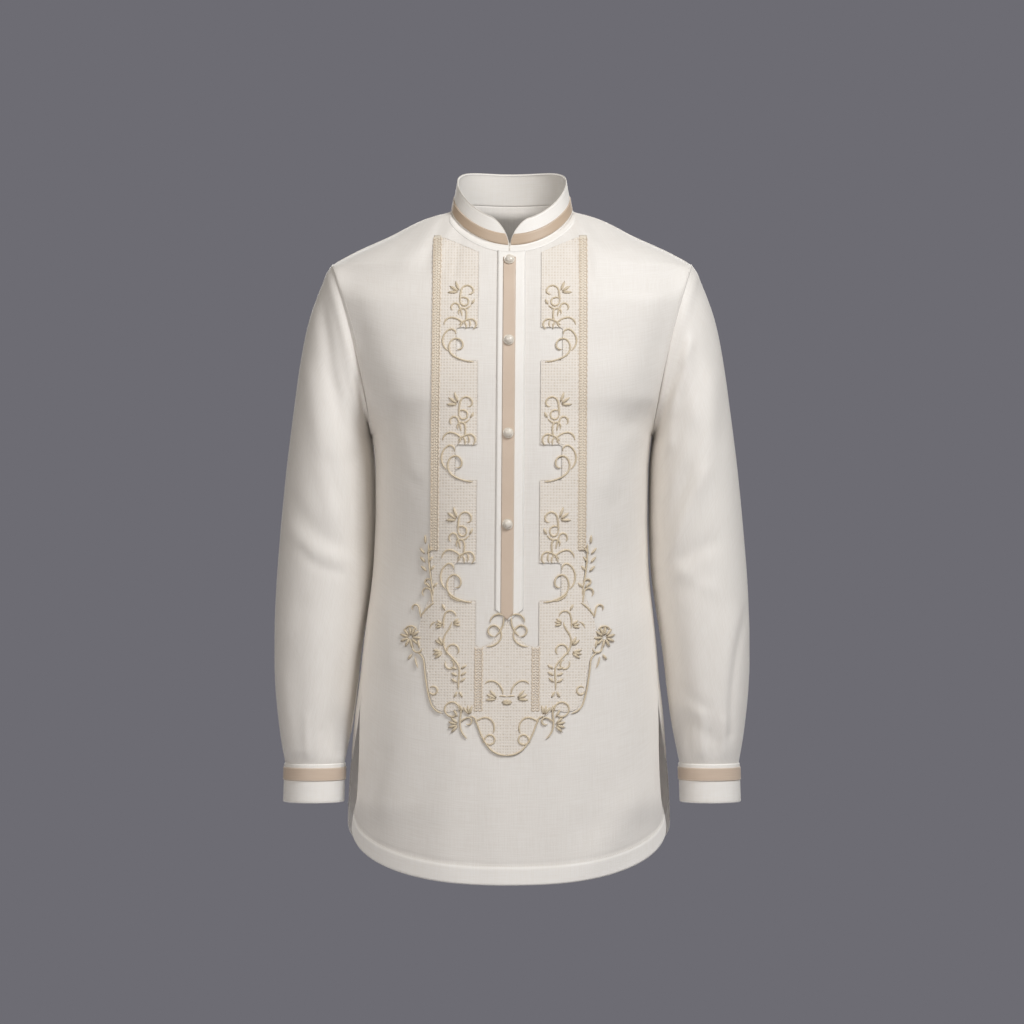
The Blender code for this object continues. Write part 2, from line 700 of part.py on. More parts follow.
def neckline_turns():
    """The angles round the neckline of the body panels' corners, a full ring from the centre front."""
    front = [neckline_turn(2 * j / FRONT_COLUMNS, False) for j in range(FRONT_COLUMNS // 2)]
    back = [neckline_turn(2 * j / BACK_COLUMNS, True) for j in range(BACK_COLUMNS // 2, -1, -1)]
    half = front + back
    return np.array(half + [2 * math.pi - turn for turn in reversed(half[:-1])])


def neckline_chord(turn):
    """The neckline as the body panels' straight grid edges give it, so that the stand meets it evenly."""
    turns = neckline_turns()
    i = int(np.clip(np.searchsorted(turns, turn) - 1, 0, len(turns) - 2))
    s = (turn - turns[i]) / (turns[i + 1] - turns[i])
    return neck_point(turns[i]) * (1 - s) + neck_point(turns[i + 1]) * s


def collar_point(turn, up, proud):
    """A point of the stand collar, up millimetres above the neckline and proud of its outer face."""
    base = neckline_chord(turn)
    top = np.array(
        [
            COLLAR_TOP_HALF_WIDTH * math.sin(turn),
            COLLAR_TOP_Y - COLLAR_TOP_HALF_DEPTH * math.cos(turn),
            base[2] + COLLAR_HEIGHT,
        ]
    )
    out = unit(np.array([math.sin(turn) / NECK_HALF_WIDTH, -math.cos(turn) / NECK_FRONT, 0]))
    rise = SEAM_GAP + up
    return base + (top - base) * rise / COLLAR_HEIGHT + out * proud


def collar_turns(first_gap):
    """The angles of the stand's columns: close together at its rounded ends, and at the panels' corners."""
    first = math.asin(first_gap / NECK_HALF_WIDTH)
    turns = neckline_turns()
    wanted = []
    for k in range(COLLAR_END_COLUMNS):
        wanted.append(first + (COLLAR_END_TURN - first) * (k / COLLAR_END_COLUMNS) ** COLLAR_END_CROWD)
    for turn, following in zip(turns, turns[1:]):
        wanted += [turn, (turn + following) / 2]
    half = [first]
    for turn in sorted(wanted):
        close = COLLAR_END_STEP if turn < COLLAR_END_TURN else COLLAR_STEP
        if turn - half[-1] > close and turn < math.pi - close / 2:
            half.append(turn)
    return np.array(half + [math.pi] + [2 * math.pi - turn for turn in reversed(half)])


def collar_band(low, high, near, far, gap):
    """A band of the stand between two heights above the neckline, cut off by the rounded ends."""
    grids = []
    for proud in (far, near):
        rows = []
        for s in (0.0, 1.0):
            ring = []
            for turn in collar_turns(gap):
                top = min(high, collar_height(turn) - COLLAR_TRIM)
                bottom = min(low, top - COLLAR_END_HEIGHT)
                ring.append(collar_point(turn, bottom + (top - bottom) * s, proud))
            rows.append(ring)
        grids.append(np.array(rows))
    return wall(grids[0], grids[1])


def laid_on_front(name, walls, outline, low, high, material):
    """A thin piece sewn on the front panel: its own points moved out, cut to an outline in x and z."""
    grid, out, _inner = walls
    xs = [x for x, _z in outline]
    zs = [z for _x, z in outline]
    rows, columns = grid.shape[:2]
    inside = (grid[..., 0] > min(xs) - 1) & (grid[..., 0] < max(xs) + 1)
    inside &= (grid[..., 2] > min(zs) - 1) & (grid[..., 2] < max(zs) + 1)
    r, c = np.nonzero(inside)
    first, last = max(r.min() - 1, 0), min(r.max() + 1, rows - 1) + 1
    left, right = max(c.min() - 1, 0), min(c.max() + 1, columns - 1) + 1
    part, away = grid[first:last, left:right], out[first:last, left:right]
    points, faces = wall(part + away * high, part + away * low)
    piece = add_mesh(name, points, faces, material)
    count = len(outline)
    near = [(x, CUTTER_FRONT_Y, z) for x, z in outline]
    far = [(x, CUTTER_BACK_Y, z) for x, z in outline]
    sides = [(i, (i + 1) % count, (i + 1) % count + count, i + count) for i in range(count)]
    caps = [tuple(reversed(range(count))), tuple(range(count, 2 * count))]
    cutter = add_mesh(name + "_cutter", near + far, sides + caps, material)
    cutter.hide_render = True
    cutter.display_type = "WIRE"
    cut = piece.modifiers.new("outline", "BOOLEAN")
    cut.operation = "INTERSECT"
    cut.object = cutter
    return piece


def evaluated_tree(obj):
    """A search tree of an object's finished surface."""
    evaluated = obj.evaluated_get(bpy.context.evaluated_depsgraph_get())
    mesh = evaluated.to_mesh()
    points = [v.co.copy() for v in mesh.vertices]
    faces = [tuple(p.vertices) for p in mesh.polygons]
    evaluated.to_mesh_clear()
    return BVHTree.FromPolygons(points, faces)


def button(name, place, outward, radius, material):
    """A pearl button: a thin round edge under a low dome, on the surface at a place in metres."""
    size = radius / BUTTON_RADIUS
    profile = [(0.0, 0.0), (BUTTON_FOOT, 0.0), (1.0, RIM_FROM * BUTTON_EDGE), (1.0, RIM_TO * BUTTON_EDGE)]
    profile = [(r * radius, h * size) for r, h in profile]
    for i in range(DOME_RINGS + 1):
        lean = math.pi / 2 * i / DOME_RINGS
        height = BUTTON_EDGE + BUTTON_DOME * math.sin(lean)
        profile.append((DOME_FOOT * radius * math.cos(lean), height * size))
    outward = Vector(outward).normalized()
    turn = outward.to_track_quat("Z", "Y")
    points, rings = [], []
    for r, h in profile:
        if r < 1e-6:
            rings.append([len(points)])
            points.append(turn @ Vector((0, 0, h)))
            continue
        rings.append(list(range(len(points), len(points) + BUTTON_SEGMENTS)))
        for k in range(BUTTON_SEGMENTS):
            a = 2 * math.pi * k / BUTTON_SEGMENTS
            points.append(turn @ Vector((r * math.cos(a), r * math.sin(a), h)))
    faces = []
    for low, high in zip(rings, rings[1:]):
        for k in range(BUTTON_SEGMENTS):
            n = (k + 1) % BUTTON_SEGMENTS
            if len(low) == 1:
                faces.append((low[0], high[n], high[k]))
            elif len(high) == 1:
                faces.append((low[k], low[n], high[0]))
            else:
                faces.append((low[k], low[n], high[n], high[k]))
    base = Vector(place) / MM + outward * LAID_GAP
    return add_mesh(name, [tuple(base + p) for p in points], faces, material)


def finish(name, colour, roughness, sheen=0.0):
    """A plain material for one kind of cloth or shell."""
    material = bpy.data.materials.new(name)
    material.use_nodes = True
    shader = material.node_tree.nodes["Principled BSDF"]
    shader.inputs["Base Color"].default_value = (*colour, 1)
    shader.inputs["Roughness"].default_value = roughness
    shader.inputs["Metallic"].default_value = 0.0
    shader.inputs["Sheen Weight"].default_value = sheen
    return material


def box_outline(centre, width, low, high):
    left, right = centre - width / 2, centre + width / 2
    return [(left, low), (right, low), (right, high), (left, high)]


def flare_curve():
    """The breast panel's flare: a smooth curve through its table, three points to a step."""
    places = np.linspace(0, PECHERA["step"][-1], 3 * (len(PECHERA["step"]) - 1) + 1)
    return [(float(smooth(PECHERA, "x", at)), float(smooth(PECHERA, "height", at))) for at in places]


def pechera_outline(side):
    """Half of the breast panel: a notched band under the collar that flares into the medallion."""
    middle = PLACKET_CENTRE * side + LAID_GAP / 2
    points = [(BAND_OUTER, BAND_TOP), (BAND_OUTER, BRAID_BOTTOM - LAID_GAP)]
    points += flare_curve()[:-1]
    points += [(middle, PECHERA["height"][-1]), (middle, MEDALLION_TOP)]
    points += [(MEDALLION_SHOULDER, MEDALLION_TOP), (BAND_INNER, MEDALLION_TOP - MEDALLION_SLOPE)]
    for i in reversed(range(NOTCH_COUNT)):
        high = NOTCH_TOP - i * NOTCH_PITCH
        low = high - NOTCH_HEIGHT
        points += [(BAND_INNER, low), (BAND_INNER + NOTCH_DEPTH, low)]
        points += [(BAND_INNER + NOTCH_DEPTH, high), (BAND_INNER, high)]
    points.append((BAND_INNER, BAND_TOP - BAND_TOP_SLOPE))
    return [(side * x, z) for x, z in points]


def clear_scene():
    for obj in list(bpy.data.objects):
        bpy.data.objects.remove(obj, do_unlink=True)


def main():
    clear_scene()
    cloth = finish("ivory jusi cloth", (0.80, 0.77, 0.69), 0.62, 0.3)
    stiff = finish("interlined jusi cloth", (0.84, 0.81, 0.74), 0.6, 0.3)
    ribbon = finish("beige satin ribbon", (0.47, 0.34, 0.22), 0.45, 0.2)
    braid = finish("tan braid", (0.56, 0.43, 0.27), 0.65, 0.2)
    net = finish("calado net ground", (0.72, 0.62, 0.45), 0.7, 0.2)
    pearl = finish("pearl shell", (0.83, 0.78, 0.68), 0.22)

    front, back = body_walls()
    add_mesh("body_front", *wall(front[0], front[2]), cloth)
    add_mesh("body_back", *wall(back[0], back[2]), cloth)

    for name, side in (("left", 1), ("right", -1)):
        grid, inner = sleeve_grids(side)
        add_mesh(f"sleeve_{name}", *wall(grid, inner, closed=True), cloth)
        low, high = CUFF_BOTTOM, SLEEVE["out_z"][-1] - SEAM_GAP
        add_mesh(f"cuff_{name}", *cuff_strip(side, low, high, CUFF_PROUD - STIFFENED, CUFF_PROUD, 0), stiff)
        low, high = CUFF_BOTTOM + CUFF_RIBBON_LOW, CUFF_BOTTOM + CUFF_RIBBON_HIGH
        near = CUFF_PROUD + LAID_GAP
        strip = cuff_strip(side, low, high, near, near + RIBBON, CUFF_OVERLAP + 1)
        add_mesh(f"cuff_ribbon_{name}", *strip, ribbon)
        turn = math.radians(CUFF_START + 360 + CUFF_OVERLAP / 2)
        lapped = CUFF_PROUD + STIFFENED + LAID_GAP
        place = cuff_ring(side, CUFF_BOTTOM + CUFF_BUTTON_UP, turn, lapped)
        outward = place - cuff_ring(side, CUFF_BOTTOM + CUFF_BUTTON_UP, turn, 0)
        button(f"cuff_button_{name}", place * MM, outward, CUFF_BUTTON_RADIUS, pearl)

    add_mesh("collar", *collar_band(0, COLLAR_HEIGHT, -STIFFENED, 0, COLLAR_END_GAP), stiff)
    near, far = LAID_GAP, LAID_GAP + RIBBON
    strip = collar_band(COLLAR_RIBBON_LOW, COLLAR_RIBBON_HIGH, near, far, COLLAR_RIBBON_GAP)
    add_mesh("collar_ribbon", *strip, ribbon)

    outline = box_outline(PLACKET_CENTRE, PLACKET_WIDTH, PLACKET_BOTTOM, PLACKET_TOP)
    low = LAID_GAP
    laid_on_front("placket", front, outline, low, low + PLACKET_THICKNESS, stiff)
    low += PLACKET_THICKNESS + LAID_GAP
    half = PLACKET_RIBBON_WIDTH / 2
    bottom = PLACKET_RIBBON_BOTTOM
    outline = [
        (PLACKET_CENTRE, bottom),
        (PLACKET_CENTRE + half, bottom + PLACKET_RIBBON_POINT),
        (PLACKET_CENTRE + half, PLACKET_TOP),
        (PLACKET_CENTRE - half, PLACKET_TOP),
        (PLACKET_CENTRE - half, bottom + PLACKET_RIBBON_POINT),
    ]
    strip = laid_on_front("placket_ribbon", front, outline, low, low + RIBBON, ribbon)
    tree = evaluated_tree(strip)
    for i, height in enumerate(BUTTON_HEIGHTS):
        start = Vector((PLACKET_CENTRE, CUTTER_FRONT_Y, height)) * MM
        place, outward, _face, _way = tree.ray_cast(start, Vector((0, 1, 0)))
        button(f"button_{i + 1}", place, outward, BUTTON_RADIUS, pearl)

    for name, side in (("left", 1), ("right", -1)):
        outline = box_outline(side * BRAID_CENTRE, BRAID_WIDTH, BRAID_BOTTOM, BRAID_TOP)
        laid_on_front(f"braid_{name}", front, outline, LAID_GAP, LAID_GAP + RIBBON, braid)
        outline = pechera_outline(side)
        laid_on_front(f"pechera_{name}", front, outline, LAID_GAP, LAID_GAP + EMBROIDERY, net)


main()
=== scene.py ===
# %% [markdown]
# # A barong tagalog
# The barong tagalog is the formal shirt of the Philippines. It is sewn from a crisp, slightly sheer cloth
# such as jusi, and its breast panel, the pechera, is worked with corded scrolls over an openwork ground.
# This lesson dresses a model that is already built: every piece is a solid of the right size, and here each
# gets the fine form and the finish of the real cloth. We work in millimetres, as a tailor does, and turn
# them into Blender's metres when a mesh is made.

# %% Load the model
import math

import bpy
import numpy as np
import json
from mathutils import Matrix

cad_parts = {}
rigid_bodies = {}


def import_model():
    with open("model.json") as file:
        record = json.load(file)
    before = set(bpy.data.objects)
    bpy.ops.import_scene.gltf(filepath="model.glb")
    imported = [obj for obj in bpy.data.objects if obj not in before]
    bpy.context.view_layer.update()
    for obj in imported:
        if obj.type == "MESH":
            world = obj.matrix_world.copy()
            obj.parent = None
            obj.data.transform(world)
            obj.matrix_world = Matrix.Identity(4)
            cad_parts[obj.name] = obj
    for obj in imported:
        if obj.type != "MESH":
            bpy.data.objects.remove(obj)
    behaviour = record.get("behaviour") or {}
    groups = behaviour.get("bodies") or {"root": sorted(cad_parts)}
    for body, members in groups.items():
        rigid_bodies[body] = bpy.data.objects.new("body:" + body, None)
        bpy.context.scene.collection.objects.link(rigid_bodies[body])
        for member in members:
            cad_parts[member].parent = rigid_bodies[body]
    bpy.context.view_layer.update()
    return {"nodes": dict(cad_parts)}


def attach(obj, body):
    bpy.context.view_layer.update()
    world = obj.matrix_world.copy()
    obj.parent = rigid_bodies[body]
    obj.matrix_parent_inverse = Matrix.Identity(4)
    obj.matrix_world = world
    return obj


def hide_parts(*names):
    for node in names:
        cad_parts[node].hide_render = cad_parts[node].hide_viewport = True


bpy.ops.object.select_all(action="SELECT")
bpy.ops.object.delete()
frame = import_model()
bpy.ops.object.select_all(action="DESELECT")
MM = 0.001
SIDES = (("left", 1), ("right", -1))  # the wearer's left lies along +X
print(f"{len(frame['nodes'])} pieces loaded")

# %% [markdown]
# ## The camera
# The shirt is seen straight from the front, from five metres away and level with its middle, so its sleeves
# and hem look as they do on a wearer across a room. A long lens keeps the shape true.

# %% Camera
SENSOR_WIDTH = 36
CAMERA_AWAY = 5.0
CAMERA_HEIGHT = -0.354
VIEW_WIDTH = 1.208  # metres across the camera's view at the middle of the shirt

camera_data = bpy.data.cameras.new("camera")
camera_data.sensor_width = SENSOR_WIDTH
camera_data.lens = SENSOR_WIDTH * CAMERA_AWAY / VIEW_WIDTH
camera = bpy.data.objects.new("camera", camera_data)
camera.location = (0, -CAMERA_AWAY, CAMERA_HEIGHT)
camera.rotation_euler = (math.pi / 2, 0, 0)
bpy.context.collection.objects.link(camera)
bpy.context.scene.camera = camera
bpy.context.scene.view_settings.view_transform = "Standard"
print(f"lens {camera_data.lens:.0f} mm")

# %% [markdown]
# ## Finishes
# Every finish is a Principled material with nodes for its weave. Colours are picked as sRGB hex values, as
# a paint program shows them, and one function turns them into the linear values that the shader needs. One
# small function adds a node with its settings and links. A value that is the same all over stays on the
# shader itself.


# %% Colour and node helpers
def linear(hex_colour):
    """A colour such as F4EFE8, from sRGB to the linear values of a shader."""
    parts = [int(hex_colour[i : i + 2], 16) / 255 for i in (0, 2, 4)]
    return [p / 12.92 if p <= 0.04045 else ((p + 0.055) / 1.055) ** 2.4 for p in parts] + [1.0]


def connect(material, node, inputs):
    """Give a node its inputs: each is a plain value, or the output of another node to link to it."""
    for name, value in inputs.items():
        if isinstance(value, bpy.types.NodeSocket):
            material.node_tree.links.new(value, node.inputs[name])
        else:
            node.inputs[name].default_value = value


def add_node(material, kind, inputs, output=0, **settings):
    """Add a node with its settings and links, and hand on one of its outputs."""
    node = material.node_tree.nodes.new(kind)
    for name, value in settings.items():
        setattr(node, name, value)
    connect(material, node, inputs)
    return node.outputs[output]


print("F4EFE8 in linear values:", [round(value, 3) for value in linear("F4EFE8")[:3]])


# %% Start of a finish, and what all cloth finishes share
def set_shader(material, inputs):
    """Set or link sockets of the material's own shader."""
    connect(material, material.node_tree.nodes["Principled BSDF"], inputs)


def start_finish(name, hex_colour, roughness, sheen=0.0):
    """A material whose shader holds the values that are the same all over the piece."""
    material = bpy.data.materials.new(name)
    material.use_nodes = True
    set_shader(material, {"Base Color": linear(hex_colour), "Roughness": roughness})
    set_shader(material, {"Sheen Weight": sheen, "Sheen Roughness": 0.4})
    return material


UNEVEN = {"Scale": 1.0, "Detail": 2.0, "Roughness": 0.55}


def on_cloth(material, across_mm, along_mm):
    """The piece's cloth coordinates, with one unit for so many mm across the cloth and along it."""
    place = add_node(material, "ShaderNodeUVMap", {}, uv_map="cloth")
    scale = (1000 / across_mm, 1000 / along_mm, 1)
    return add_node(material, "ShaderNodeMapping", {"Vector": place, "Scale": scale})


def patches(material, across_mm, along_mm, detail=2.0):
    """Uneven soft patches that follow the cloth, so many mm across it and along it."""
    place = on_cloth(material, across_mm, along_mm)
    return add_node(material, "ShaderNodeTexNoise", {"Vector": place, **UNEVEN, "Detail": detail})


def work_surface(material, share, hex_none, hex_full, relief=None, relief_mm=0.0):
    """Tint the surface between two colours, by a share from 0 to 1 over it, and raise it by a relief."""
    tones = {0: share, 6: linear(hex_none), 7: linear(hex_full)}
    set_shader(material, {"Base Color": add_node(material, "ShaderNodeMix", tones, 2, data_type="RGBA")})
    if relief is not None:
        bump = {"Height": relief, "Distance": relief_mm * MM, "Strength": 1.0}
        set_shader(material, {"Normal": add_node(material, "ShaderNodeBump", bump)})
    return material


print("shader sockets are set in start_finish and linked in work_surface")

# %% [markdown]
# ### Jusi
# Jusi is a plain weave of fine, stiff threads. Some threads are thicker for a few centimetres, and these
# slubs are what the eye catches: faint streaks along both directions of the cloth. The real thread spacing,
# about 0.3 mm, is too fine to show, so the weave is drawn at 0.9 mm. The cloth has a soft silky sheen.

# %% Jusi cloth
SLUB_WIDTH, SLUB_LENGTH = 1.3, 32.0  # a slub is about 1 mm thick and 3 cm long
WEAVE_SHOWN = 0.9  # the real threads, 0.3 mm apart, are too fine to show
WEAVE_UNEVEN, WEAVE_SHARE = 0.35, 0.5


def jusi(name, hex_light, hex_slub, relief_mm, roughness):
    """Plain-woven jusi: a soft silky sheen with faint streaks both ways."""
    material = start_finish(name, hex_light, roughness, sheen=0.25)
    warp = patches(material, SLUB_WIDTH, SLUB_LENGTH)
    weft = patches(material, SLUB_LENGTH, SLUB_WIDTH)
    slubs = add_node(material, "ShaderNodeMath", {0: warp, 1: weft}, operation="ADD")
    share = add_node(material, "ShaderNodeMath", {0: slubs, 1: 2.4, 2: -1.9}, operation="MULTIPLY_ADD",
                     use_clamp=True)
    weave = {"Vector": on_cloth(material, WEAVE_SHOWN, WEAVE_SHOWN), "Scale": 1.0, "Randomness": WEAVE_UNEVEN}
    weave = add_node(material, "ShaderNodeTexVoronoi", weave, distance="MANHATTAN")
    relief = {0: weave, 1: WEAVE_SHARE, 2: slubs}
    relief = add_node(material, "ShaderNodeMath", relief, operation="MULTIPLY_ADD")
    return work_surface(material, share, hex_slub, hex_light, relief, relief_mm)


# One layer is a little grey and matt. Over an interlining the same cloth is whiter and smoother.
JUSI = jusi("ivory jusi, plain woven", "F1ECE5", "ECE6DE", 0.09, 0.55)
LINED_JUSI = jusi("ivory jusi over a stiff interlining", "FBF7F1", "F8F3EB", 0.06, 0.5)
print("jusi finishes made")

# %% [markdown]
# ### Ribbon, braid, thread and pearl
# The ribbon is a fine-ribbed beige satin: light slides along its ribs. The braid and the embroidery are
# mercerised cotton in a tan gold, whose twisted plies catch small highlights from their relief, and their
# colour adds painted shade between the plies and a painted highlight on top. The calado ground is the same
# cloth with its threads drawn together into a grid of tiny holes. The buttons are pearly resin on a rim.


# %% Ribbon and thread finishes
RIB_WIDTH, RIB_LENGTH, RIB_RELIEF = 0.7, 40.0, 0.12  # the real ribs are finer, too fine to show
PLY_RELIEF = 0.15  # the real plies are too fine to show, so they are drawn coarser


def ribbon_finish(name, hex_dark, hex_light):
    """Satin ribbon: smooth and a little shiny, with fine ribs along it and slow changes of tone."""
    material = start_finish(name, hex_light, 0.42, sheen=0.2)
    ribs = patches(material, RIB_LENGTH, RIB_WIDTH, detail=1.0)
    tone = patches(material, 60.0, 25.0)
    tone = add_node(material, "ShaderNodeMath", {0: tone, 1: 0.8, 2: -0.4}, operation="MULTIPLY_ADD")
    share = add_node(material, "ShaderNodeMath", {0: ribs, 1: 0.9, 2: tone}, operation="MULTIPLY_ADD")
    return work_surface(material, share, hex_dark, hex_light, ribs, RIB_RELIEF)


def thread_finish(name, hex_dark, hex_light, ply_mm):
    """Mercerised cotton: slanting plies along the thread's own length, with painted shade between and a
    painted highlight on top.
    """
    material = start_finish(name, hex_light, 0.5, sheen=0.15)
    plies = patches(material, ply_mm, ply_mm * 0.8, detail=1.0)
    # painted shade and painted highlight: dark where the plies sink, light where they rise
    share = add_node(material, "ShaderNodeMath", {0: plies, 1: 2.0, 2: -0.5}, operation="MULTIPLY_ADD",
                     use_clamp=True)
    return work_surface(material, share, hex_dark, hex_light, plies, PLY_RELIEF)


RIBBON = ribbon_finish("beige satin ribbon", "D3BDA8", "E0CCB8")
# The collar's ribbon is the same satin as the placket's, drawn darker: painted shade for the shade it lies
# in.
PAINTED_SHADE_COLLAR_RIBBON = ribbon_finish("beige satin ribbon darkened with painted shade", "C3AB92", "D1BBA3")
BRAID = thread_finish("tan cotton braid", "DCC9AE", "F0E3D2", 1.2)
BRAID_TAPE = thread_finish("ecru braid tape", "E6D9C4", "F0E7D8", 1.0)
CORDING = thread_finish("tan gold corded embroidery", "C6B08B", "EDE0C8", 0.9)
SEWING = thread_finish("ivory sewing thread", "E6DED2", "F8F3EA", 0.8)
print("ribbon and thread finishes made")


# %% Net and pearl finishes
NET_THREAD = 0.8  # the net's own threads are too fine to show, so they are drawn coarser
PEARL_CLOUDS = 300.0  # clouds to the metre, so each is about 3 mm wide


def calado_finish():
    """The net ground: painted shade darkens its colour into the holes, which the mesh marks with an
    attribute.
    """
    material = start_finish("calado openwork ground", "E2D6C4", 0.6, sheen=0.15)
    hole = add_node(material, "ShaderNodeAttribute", {}, 2, attribute_name="hole")
    uneven = patches(material, 9.0, 9.0)
    uneven = add_node(material, "ShaderNodeMath", {0: uneven, 1: 1.3, 2: 0.2}, operation="MULTIPLY_ADD")
    # painted shade: the colour darkens with each point's depth into its hole
    share = add_node(material, "ShaderNodeMath", {0: hole, 1: uneven}, operation="MULTIPLY")
    threads = patches(material, NET_THREAD, NET_THREAD)
    return work_surface(material, share, "F1E9DF", "D3C4AE", threads, PLY_RELIEF)


def pearl_finish():
    """Pearl resin: warm white under a clear, glossy coat, with faint clouds in it."""
    material = start_finish("pearl resin, domed", "E9E0D2", 0.28)
    set_shader(material, {"Coat Weight": 0.5, "Coat Roughness": 0.12})
    place = add_node(material, "ShaderNodeTexCoord", {}, "Object")
    place = add_node(material, "ShaderNodeMapping", {"Vector": place, "Scale": (PEARL_CLOUDS,) * 3})
    clouds = add_node(material, "ShaderNodeTexNoise", {"Vector": place, **UNEVEN})
    return work_surface(material, clouds, "D9CDBB", "F4EEE4")


CALADO = calado_finish()
PEARL = pearl_finish()
print("net and pearl finishes made")

# %% [markdown]
# ## The cut of the shirt
# The shirt is worn, so its panels are no longer flat: each is a curved sheet around the body. The short
# tables below hold the sections that the solids were built from, in millimetres. +Z is up, the front faces
# -Y, and heights run down from the neck. The panels could be cut from the solids instead, but those are
# coarse. A table read on a smooth curve gives the same form at any fineness, so the cloth made here lies on
# the solid that it stands for, apart from its finer folds and edges.


# %% Read a table
def read_rows(text):
    """The numbers of each line."""
    return [[float(n) for n in line.split()] for line in text.strip().splitlines()]


def table(text):
    """One array for each column that the first line names, in ascending order of the first column."""
    columns, rows = text.strip().split("\n", 1)
    return dict(zip(columns.split(), np.array(sorted(read_rows(rows))).T))


def smooth(tab, column, at):
    """Read a column at places along the table's first column, on a curve that never overshoots its rows."""
    keys, values = next(iter(tab.values())), tab[column]
    step = np.diff(keys)
    slope = np.diff(values) / step
    tangent = np.concatenate([slope[:1], np.zeros(len(slope) - 1), slope[-1:]])
    for i in range(1, len(slope)):
        if slope[i - 1] * slope[i] > 0:
            tangent[i] = 2 * slope[i - 1] * slope[i] / (slope[i - 1] + slope[i])
    at = np.clip(at, keys[0], keys[-1])
    i = np.clip(np.searchsorted(keys, at) - 1, 0, len(step) - 1)
    s = (at - keys[i]) / step[i]
    bend = tangent[i] * (s - 2 * s**2 + s**3) + tangent[i + 1] * (s**3 - s**2)
    return values[i] + (values[i + 1] - values[i]) * (3 * s**2 - 2 * s**3) + step[i] * bend


print("a table reads as", table("height width\n-20 5\n0 4"))

# %% Sizes of the body
NECK_HALF_WIDTH, NECK_SIDE_Y, NECK_FRONT, NECK_BACK = 70.8, -8.0, 57.0, 60.0
NECK_FRONT_DROP, NECK_BACK_RISE = 45.0, 12.0
NECK_BEND = (NECK_BACK_RISE / NECK_BACK - NECK_FRONT_DROP / NECK_FRONT) / (NECK_BACK + NECK_FRONT)
NECK_SLOPE = NECK_BACK_RISE / NECK_BACK - NECK_BACK * NECK_BEND
SHOULDER_TIP, UNDERARM = np.array((212.4, -8.0, -63.7)), np.array((165.0, 0.0, -262.0))
ARMHOLE_HALF_DEPTH, ARMHOLE_BOW = 52.0, 5.0
HEM_CENTRE, HEM_CORNER, HEM_CURVE, HEM_BAND = -783.6, -719.6, 2.4, 22.0
VENT_TOP, VENT_BACK_Y, VENT_BACK_IN, VENT_OVER = -562.0, 4.0, 0.4, 100.0
SHOULDER_WRAP, SHOULDER_WRAP_DEPTH = 4.0, 8.0
CENTRE_AT_UNDERARM, CENTRE_AT_TIP = -300.0, -135.0
QUARTER_ARC, ROW_CURVE, FOLD_TAPER, FOLD_EDGE = 1.15, 1.5, 1.6, 8
ARMHOLE_EASE = 45.0  # height over which the armhole's two ends are rounded off
SHARP_AT_TIP, SHARP_BELOW, SHARP_TOP, SHARP_OVER = 14, 70, -120.0, 80.0  # how late the front turns in to it
CENTRE_OFF, CENTRE_LEAN, CENTRE_TOP = -1.9, 0.0074, -40.0
HANG_ASIDE, HANG_OVER = 3.6, 400.0
FRONT_DRAWN_IN, DRAWN_TOP, DRAWN_OVER = 2.5, -560.0, 100.0  # at the vents, the front hangs inside the back
print(f"shoulders {2 * SHOULDER_TIP[0]:.0f} mm wide, neck {2 * NECK_HALF_WIDTH:.0f} mm wide")

# %% Tables of the body
SHOULDER = table("""
drop half_width
0 70.8
9.4 100.5
29 139.6
46.7 178.8
63.7 212.4
""")
SIDE = table("""
height side edge edge_y
-262 165 165 0
-304 161 161 0
-355 160.5 160.4 -2
-412 162 161.5 -12
-447 165 163.5 -20
-471 168 166 -26
-505 172 169 -32
-552 176.5 172.5 -38
-587 181 175 -42
-627 184.5 177 -45
-649 186 178 -46
-690 188.5 180.5 -46
-722 189.5 186 -36
-790 190 187 -34
""")
FRONT = table("""
height depth flat round
0 20 2.3 1.8
-45 65 2.3 1.75
-62 75 2.3 1.7
-100 94 2.3 1.5
-150 107 2.4 1.38
-200 116 2.7 1.58
-235 118.5 2.85 1.7
-262 120.5 2.95 1.78
-304 122 2.95 1.78
-355 122 2.75 1.65
-412 121 2.5 1.42
-500 121 2.4 1.25
-600 122 2.35 1.12
-700 124 2.3 1.06
-790 125 2.3 1.05
""")
BACK = table("""
height depth flat round
20 52 2 2
0 52 2 2
-12 60 2.1 1.95
-30 73 2.2 1.85
-64 92 2.3 1.7
-100 104 2.35 1.52
-150 114 2.5 1.42
-200 119 2.8 1.6
-235 120 3.05 1.85
-262 120 3.35 2.15
-304 118 3.2 2.05
-355 114 2.9 1.9
-412 111 2.65 1.8
-500 113 2.5 1.8
-600 118 2.4 1.8
-700 122 2.4 1.8
-790 124 2.4 1.8
""")
SLEEVE = table("""
ring out_z out_x in_z in_x half_depth mid_y
0 -63.7 212.4 -262 165 52 -4
1 -80 221 -265 165.2 53.5 -3
2 -100 229.5 -268.5 164.8 55 -2
3 -125 238 -273 164.3 57 -1
4 -155 245.3 -279 163.6 59 0
5 -190 251.2 -287 162.7 61 0
6 -228 256.4 -299 161.8 62.5 0
7 -266 261.3 -315 161.2 63.5 0
8 -305 266 -336 160.9 64 0
9 -345 270 -364 160.9 64 -1
10 -385 273.5 -396 161.9 63.5 -2
11 -425 276.6 -430 164.2 62 -4
12 -460 278.5 -462 168.4 60.5 -6
13 -495 279.5 -496 173.8 58.5 -9
14 -529 279.5 -529 178.5 56 -11
15 -556 278.4 -556 181.4 53 -13
16 -580 276.4 -580 184.3 50 -15
17 -601 274 -601 187.4 47.5 -16
18 -620 271.4 -620 190.8 44.5 -17
19 -635 268.8 -635 193.8 41.5 -18
20 -648 266.5 -648 196.4 38 -18
""")
print(f"half width at the hips: {smooth(SIDE, 'side', -600.0):.0f} mm")

